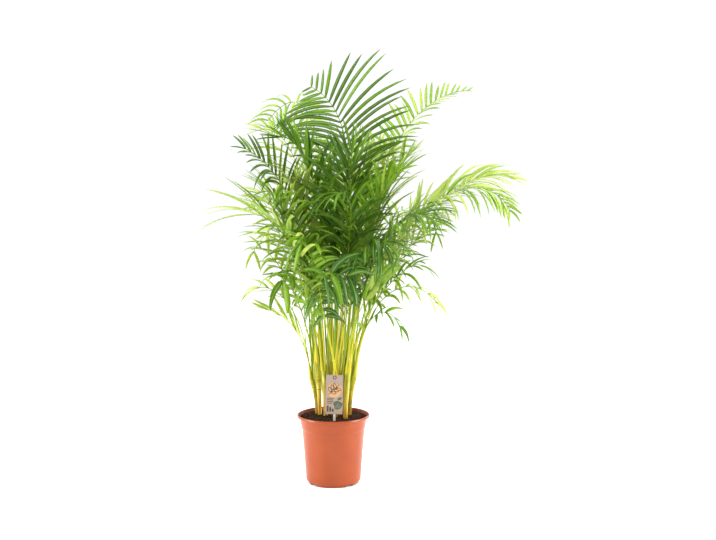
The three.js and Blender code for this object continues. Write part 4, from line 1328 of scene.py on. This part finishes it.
        climb = add("ShaderNodeSeparateXYZ", {0: heading}).outputs["Z"]
        level_part = add("ShaderNodeVectorMath", {0: heading, "Scale": climb}, operation="SCALE")
        hang = add("ShaderNodeVectorMath", {0: level_part, 1: (0.0, 0.0, 1.0)}, operation="SUBTRACT")
        fall = add("ShaderNodeVectorMath", {0: hang}, operation="NORMALIZE")
        pull = add("ShaderNodeVectorMath", {0: hang}, operation="LENGTH").outputs["Value"]
        limp = add("ShaderNodeMath", {0: given("Droop"), 1: chance(0.8, 1.25, 5)}, operation="MULTIPLY")
        weight = add("ShaderNodeMath", {0: length, 1: 1 / (LIMP_LENGTH * MM)}, operation="MULTIPLY")
        strain = add("ShaderNodeMath", {0: limp, 1: weight}, operation="MULTIPLY")
        wanted = add("ShaderNodeMath", {0: strain, 1: pull}, operation="MULTIPLY")
        fallen_climb = add("ShaderNodeMath", {0: climb, 1: -1.0}, operation="MULTIPLY")
        room = add("ShaderNodeMath", {0: fallen_climb}, operation="ARCCOSINE")
        held_back = add("ShaderNodeMath", {0: wanted, 1: room}, operation="MINIMUM")
        turn = add("ShaderNodeMath", {0: held_back, 1: 0.02}, operation="MAXIMUM")

        tone = add("ShaderNodeMath", {0: given("Tint"), 1: chance(-0.28, 0.28, 6)}, operation="ADD")
        stored = {
            "side": ("FLOAT", side),
            "heading": ("FLOAT_VECTOR", heading),
            "across": ("FLOAT_VECTOR", across),
            "length": ("FLOAT", length),
            "fall": ("FLOAT_VECTOR", fall),
            "turn": ("FLOAT", turn),
            "curl": ("FLOAT", chance(-0.03, 0.1, 7)),
            "tint": ("FLOAT", tone),
            "root": ("FLOAT_VECTOR", add("GeometryNodeInputPosition")),
        }
        held = both
        for name, (kind, value) in stored.items():
            held = add(
                "GeometryNodeStoreNamedAttribute",
                {"Geometry": held, "Name": name, "Value": value},
                data_type=kind,
                domain="POINT",
            )
        return held

    @staticmethod
    def _leaflets(recipe: Recipe, stations: bpy.types.Node) -> bpy.types.Node:
        """Adds the nodes that set a closed blade on every point and bend it to its place."""
        add = partial(add_node, recipe.tree)
        given = recipe.given
        tube = add(
            "GeometryNodeMeshCylinder",
            {"Vertices": 8, "Side Segments": 7, "Radius": 1.0, "Depth": 1.0},
            fill_type="NGON",
        )
        place = add("ShaderNodeSeparateXYZ", {0: add("GeometryNodeInputPosition")})
        share = add("ShaderNodeMath", {0: place.outputs["Z"], 1: 0.5}, operation="ADD")
        blade = tube
        for name, value in {"along": share, "chord": place.outputs["X"], "layer": place.outputs["Y"]}.items():
            blade = add(
                "GeometryNodeStoreNamedAttribute",
                {"Geometry": blade, "Name": name, "Value": value},
                data_type="FLOAT",
                domain="POINT",
            )
        placed = add("GeometryNodeInstanceOnPoints", {"Points": stations, "Instance": blade})
        real = add("GeometryNodeRealizeInstances", {0: placed})

        number = {
            name: add("GeometryNodeInputNamedAttribute", {"Name": name}, data_type="FLOAT")
            for name in ("along", "chord", "layer", "side", "length", "turn", "curl")
        }
        way = {
            name: add("GeometryNodeInputNamedAttribute", {"Name": name}, data_type="FLOAT_VECTOR")
            for name in ("heading", "across", "fall", "root")
        }
        outline = add("ShaderNodeFloatCurve", {"Value": number["along"]})
        points = outline.mapping.curves[0].points
        points[0].location, points[1].location = (0.0, 0.42), (1.0, 0.02)
        points.new(0.3, 0.96)
        points.new(0.68, 0.82)
        outline.mapping.update()
        slender = add(
            "ShaderNodeMapRange",
            {"Value": number["length"], "From Max": 117.0 * MM, "To Min": 0.275, "To Max": 0.5},
        )
        widest = add("ShaderNodeMath", {0: slender, 1: given("Leaflet Width")}, operation="MULTIPLY")
        half = add("ShaderNodeMath", {0: widest, 1: outline}, operation="MULTIPLY")
        squared = add("ShaderNodeMath", {0: number["along"], 1: number["along"]}, operation="MULTIPLY")

        turned = add("ShaderNodeMath", {0: number["turn"], 1: number["along"]}, operation="MULTIPLY")
        bow = add("ShaderNodeMath", {0: number["length"], 1: number["turn"]}, operation="DIVIDE")
        sine = add("ShaderNodeMath", {0: turned}, operation="SINE")
        cosine = add("ShaderNodeMath", {0: turned}, operation="COSINE")
        versine = add("ShaderNodeMath", {0: 1.0, 1: cosine}, operation="SUBTRACT")
        out = add("ShaderNodeMath", {0: bow, 1: sine}, operation="MULTIPLY")
        reach = add("ShaderNodeVectorMath", {0: way["heading"], "Scale": out}, operation="SCALE")
        drop = add("ShaderNodeMath", {0: bow, 1: versine}, operation="MULTIPLY")
        down = add("ShaderNodeVectorMath", {0: way["fall"], "Scale": drop}, operation="SCALE")
        ahead = add("ShaderNodeVectorMath", {0: way["heading"], "Scale": cosine}, operation="SCALE")
        under = add("ShaderNodeVectorMath", {0: way["fall"], "Scale": sine}, operation="SCALE")
        tangent = add("ShaderNodeVectorMath", {0: ahead, 1: under}, operation="ADD")
        bend = add("ShaderNodeMath", {0: number["curl"], 1: number["length"]}, operation="MULTIPLY")
        curled = add("ShaderNodeMath", {0: bend, 1: squared}, operation="MULTIPLY")
        aside = add("ShaderNodeMath", {0: number["chord"], 1: half, 2: curled}, operation="MULTIPLY_ADD")
        breadth = add("ShaderNodeVectorMath", {0: way["across"], "Scale": aside}, operation="SCALE")

        normal = add("ShaderNodeVectorMath", {0: tangent, 1: way["across"]}, operation="CROSS_PRODUCT")
        thin = add("ShaderNodeMath", {0: number["layer"], 1: given("Leaflet Thickness")}, operation="MULTIPLY")
        thinner = add("ShaderNodeMath", {0: thin, 1: 0.5}, operation="MULTIPLY")
        edge = add("ShaderNodeMath", {0: number["chord"]}, operation="ABSOLUTE")
        folded = add("ShaderNodeMath", {0: edge, 1: half}, operation="MULTIPLY")
        deep = add("ShaderNodeMath", {0: folded, 1: given("Fold")}, operation="MULTIPLY")
        roof = add("ShaderNodeMath", {0: deep, 1: number["side"]}, operation="MULTIPLY")
        depth = add("ShaderNodeMath", {0: thinner, 1: roof}, operation="SUBTRACT")
        thickness = add("ShaderNodeVectorMath", {0: normal, "Scale": depth}, operation="SCALE")

        total = way["root"]
        for part in (reach, breadth, thickness, down):
            total = add("ShaderNodeVectorMath", {0: total, 1: part}, operation="ADD")
        bent = add("GeometryNodeSetPosition", {"Geometry": real, "Position": total})
        return add("GeometryNodeSetMaterial", {"Geometry": bent, "Material": given("Leaf")})

    def build(self) -> None:
        """Makes every frond and dresses it."""
        recipe = self.recipe()
        leaf, stalk = LeafFinish().make(), StalkFinish().make()
        for i, plan in enumerate(FRONDS, start=1):
            foot, low, high, tip = self.line(plan)
            inward = Vector((-plan.tip[0], -plan.tip[1], 0)).normalized()
            face = Vector(plan.face) if plan.face else inward * self.inward + UP + self.light_side * TOWARD_LABEL
            values = {
                "Foot": (foot - self.sunk * UP) * MM,
                "Low Handle": low * MM,
                "High Handle": high * MM,
                "Tip": tip * MM,
                "Face": face,
                "Pairs": self.pairs(plan),
                "Bare Share": plan.bare,
                "Leaflet Length": plan.leaf * MM,
                "Leaflet Width": plan.width * MM,
                "Leaflet Thickness": self.blade_thickness * MM,
                "Fold": self.fold,
                "Droop": plan.droop,
                "Taper": plan.taper,
                "Lift": self.lift,
                "Disorder": plan.disorder,
                "Spread Low": plan.spread[0],
                "Spread High": plan.spread[1],
                "Stalk Radius": self.stalk_radius * MM,
                "Tip Radius": self.tip_radius * MM,
                "Sheath": self.sheath * MM,
                "Tint": plan.tone.value,
                "Seed": i * 17,
                "Leaf": leaf,
                "Stalk": stalk,
            }
            frond = recipe.make(f"feather_{i:02d}", values)
            seat(frond, "frond", f"frond_{i:02d}")


# ---------------------------------------------------------------------------------------------------
# Care label


@dataclass
class CareLabel:
    """The printed card on its stake. Card and stake are the frame's own; the print lies on the card."""

    width: float = 51
    height: float = 117
    front: float = -72
    side: float = 4
    bottom: float = 222
    lean: float = 1.5
    eyelet_drop: float = 7.8
    proud: float = 0.06

    def on_card(self, x: float, z: float, proud: float) -> Point3:
        """Turns a place on the card, from its middle, to one in the frame."""
        turn = math.radians(self.lean)
        middle = self.bottom + self.height / 2
        return (
            self.side + x * math.cos(turn) + z * math.sin(turn),
            self.front - proud,
            middle - x * math.sin(turn) + z * math.cos(turn),
        )

    def print_shape(self, name: str, outlines: list[list[Point2]], finish: SheetFinish, layer: int = 1) -> None:
        """Lays printed shapes on the card.

        Args:
            name: The piece's name.
            outlines: Each shape's outline on the card, counted from its middle.
            finish: The ink.
            layer: How many inks lie under it, counting itself.
        """
        shapes = bmesh.new()
        for outline in outlines:
            corners = [Vector(self.on_card(x, z, self.proud * layer)) * MM for x, z in outline]
            shapes.faces.new([shapes.verts.new(corner) for corner in corners])
        bmesh.ops.triangulate(shapes, faces=shapes.faces)
        for face in shapes.faces:
            if face.normal.y > 0:
                face.normal_flip()
        mesh = bpy.data.meshes.new(name)
        shapes.to_mesh(mesh)
        shapes.free()
        mesh.materials.append(finish.make())
        seat(show(mesh, name), "label")

    @staticmethod
    def ellipse(x: float, z: float, wide: float, high: float, turn: float = 0, sides: int = 28) -> list[Point2]:
        """Outline of an ellipse.

        Args:
            x: Middle, to the right.
            z: Middle, up.
            wide: Half its length.
            high: Half its breadth.
            turn: Its turn in degrees.
            sides: Corners in the outline.

        Returns:
            The outline's points.
        """
        slant = math.radians(turn)
        points = []
        for i in range(sides):
            angle = 2 * math.pi * i / sides
            a, b = wide * math.cos(angle), high * math.sin(angle)
            points.append((x + a * math.cos(slant) - b * math.sin(slant), z + a * math.sin(slant) + b * math.cos(slant)))
        return points

    @staticmethod
    def blot(x: float, z: float, reach: float, sides: int = 40) -> list[Point2]:
        """Outline of a round patch with a wavy edge."""
        points = []
        for i in range(sides):
            angle = 2 * math.pi * i / sides
            far = reach * (1 + 0.09 * math.sin(3 * angle + 0.6) + 0.05 * math.sin(5 * angle))
            points.append((x + far * math.cos(angle), z + far * math.sin(angle)))
        return points

    @staticmethod
    def stroke(route: list[Point2], breadth: float) -> list[list[Point2]]:
        """A line of even breadth along a route, as one four-sided piece for each stretch of it.

        Args:
            route: The line's points. A route that ends where it began makes a closed line.
            breadth: Its breadth.

        Returns:
            The outline of each piece.
        """
        closed = route[0] == route[-1]
        edges = []
        for i, (x, z) in enumerate(route):
            behind = route[i - 1] if i else route[-2 if closed else 0]
            ahead = route[i + 1] if i + 1 < len(route) else route[1 if closed else -1]
            way = Vector((ahead[0] - behind[0], ahead[1] - behind[1])).normalized() * breadth / 2
            edges.append(((x - way.y, z + way.x), (x + way.y, z - way.x)))
        return [[*first, *second[::-1]] for first, second in zip(edges, edges[1:])]

    def loop(self, outline: list[Point2], breadth: float) -> list[list[Point2]]:
        """An outline drawn as a closed line of even breadth."""
        return self.stroke([*outline, outline[0]], breadth)

    @staticmethod
    def bar(x: float, z: float, wide: float, high: float) -> list[Point2]:
        """Outline of an upright rectangle, from its lower left corner."""
        return [(x, z), (x + wide, z), (x + wide, z + high), (x, z + high)]

    def build(self, frame: dict[str, Any]) -> None:
        """Dresses the card and the stake and lays the print on the card.
        """
        card = SheetFinish("Polypropylene card, varnished", "#7c6a5d", "#8b7767")
        stake = SheetFinish("Polystyrene stake, moulded white", "#a9a497", "#b5b0a2", 0.42)
        self._dress(frame["nodes"]["care_label"], card.make())
        self._dress(frame["nodes"]["label_stake"], stake.make())
        sun = SheetFinish("Ink, warm yellow", "#a37a4c", "#ac8556", 0.45)
        dark = SheetFinish("Ink, dark brown", "#2a1a12", "#36241a", 0.45)
        green = SheetFinish("Ink, grey green", "#2c3a28", "#3c4c36", 0.45)
        pale = SheetFinish("Ink, pale grey", "#5d564f", "#6d655d", 0.45)

        self.print_shape("print_panel", [self.blot(1, 13, 21)], sun)
        self.print_shape("print_field", [self.blot(11, -31, 13), self.ellipse(16, -12, 7, 4, 30)], green)
        glints = [self.ellipse(7 + 4 * i, -36 + 6 * (i % 2), 5, 1.4, 50) for i in range(3)]
        self.print_shape("print_glints", glints, pale, 2)
        stripes = [self.bar(-21, z, far + 21, 2.2) for z, far in ((-12, 0), (-17, -3), (-22, -2), (-27, -5))]
        blocks = [self.bar(x, -51, 5.5, tall) for x, tall in ((-21, 18), (-13.5, 14), (-6, 9))]
        self.print_shape("print_blocks", stripes + blocks, dark)
        sprig = [(-14 + 1.5 * i, 1 + 1.6 * i + 3 * math.sin(i / 3)) for i in range(19)]
        drawing = self.stroke(sprig, 2.2)
        for x, z in sprig[3:15:5]:
            drawing += self.loop(self.ellipse(x - 4, z + 7, 7.5, 3.6, 115, 16), 1.9)
            drawing += self.loop(self.ellipse(x + 8, z - 3, 7, 3.4, -14, 16), 1.9)
        self.print_shape("print_drawing", drawing, dark, 3)
        eyelet = self.ellipse(0, self.height / 2 - self.eyelet_drop, 4.3, 4.3)
        self.print_shape("print_ring", self.loop(eyelet, 2.5), dark, 2)

    @staticmethod
    def _dress(node: bpy.types.Object, material: bpy.types.Material) -> None:
        """Gives one of the frame's own nodes its material."""
        node.data.materials.clear()
        node.data.materials.append(material)


# ---------------------------------------------------------------------------------------------------
# Studio


@dataclass
class Studio:
    """Pale floor, soft light from both sides and behind, and the camera."""

    camera_at: Point3 = (0.0735, -3.846, 1.073)
    pitch: float = 6.435
    lens: float = 65.97
    sensor: float = 36.0
    white: str = "#fbfbfa"
    world_light: float = 1.05

    def floor(self) -> None:
        """A wide plain floor."""
        size = 30.0
        mesh = bpy.data.meshes.new("studio_floor")
        corners = [(-size, -size, 0), (size, -size, 0), (size, size, 0), (-size, size, 0)]
        mesh.from_pydata(corners, [], [(0, 1, 2, 3)])
        material = bpy.data.materials.new("Studio floor, matt white")
        material.use_nodes = True
        skin = material.node_tree.nodes["Principled BSDF"]
        skin.inputs["Base Color"].default_value = linear(self.white)
        skin.inputs["Roughness"].default_value = 0.9
        mesh.materials.append(material)
        show(mesh, "studio_floor")

    def softbox(self, name: str, place: Point3, target: Point3, size: Point2, power: float) -> None:
        """Adds a soft rectangular light.

        Args:
            name: The light's name.
            place: Where it stands.
            target: What it faces.
            size: Its width and height.
            power: Its power in watts.
        """
        lamp = bpy.data.lights.new(name, "AREA")
        lamp.shape = "RECTANGLE"
        lamp.size, lamp.size_y = size
        lamp.energy = power
        light = bpy.data.objects.new(name, lamp)
        light.location = place
        light.rotation_euler = (Vector(target) - Vector(place)).to_track_quat("-Z", "Y").to_euler()
        bpy.context.scene.collection.objects.link(light)

    def lights(self) -> None:
        """Sets the white room and the softboxes."""
        world = bpy.data.worlds.new("White room")
        world.use_nodes = True
        back = world.node_tree.nodes["Background"]
        back.inputs["Color"].default_value = (1, 1, 1, 1)
        back.inputs["Strength"].default_value = self.world_light
        bpy.context.scene.world = world
        crown = (0, 0, 0.85)
        self.softbox("left_box", (-3.1, -0.9, 1.2), crown, (1.0, 1.8), 165)
        self.softbox("right_box", (3.1, -0.7, 1.2), crown, (1.0, 1.8), 165)
        self.softbox("back_right_box", (1.6, 2.4, 1.7), crown, (1.6, 1.6), 70)
        self.softbox("back_left_box", (-1.8, 2.2, 1.9), crown, (1.6, 1.6), 50)
        self.softbox("top_box", (0.2, -0.5, 3.4), crown, (1.6, 1.6), 60)

    def camera(self) -> None:
        """Sets the camera and the plain view transform."""
        lens = bpy.data.cameras.new("camera")
        lens.lens = self.lens
        lens.sensor_width = self.sensor
        camera = bpy.data.objects.new("camera", lens)
        camera.location = self.camera_at
        camera.rotation_euler = (math.radians(90 - self.pitch), 0, 0)
        scene = bpy.context.scene
        scene.collection.objects.link(camera)
        scene.camera = camera
        scene.view_settings.view_transform = "Standard"
        scene.view_settings.look = "None"

    def build(self) -> None:
        """Sets up the whole studio."""
        self.floor()
        self.lights()
        self.camera()


def main() -> None:
    """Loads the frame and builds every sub-assembly."""
    logging.basicConfig(level=logging.INFO, format="%(name)s: %(message)s")
    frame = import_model()
    pot = NurseryPot()
    soil = PottingSoil(pot)
    pot.build()
    soil.build()
    CaneClump(soil).build()
    FrondCrown().build()
    CareLabel().build(frame)
    Studio().build()


if __name__ == "__main__":
    main()
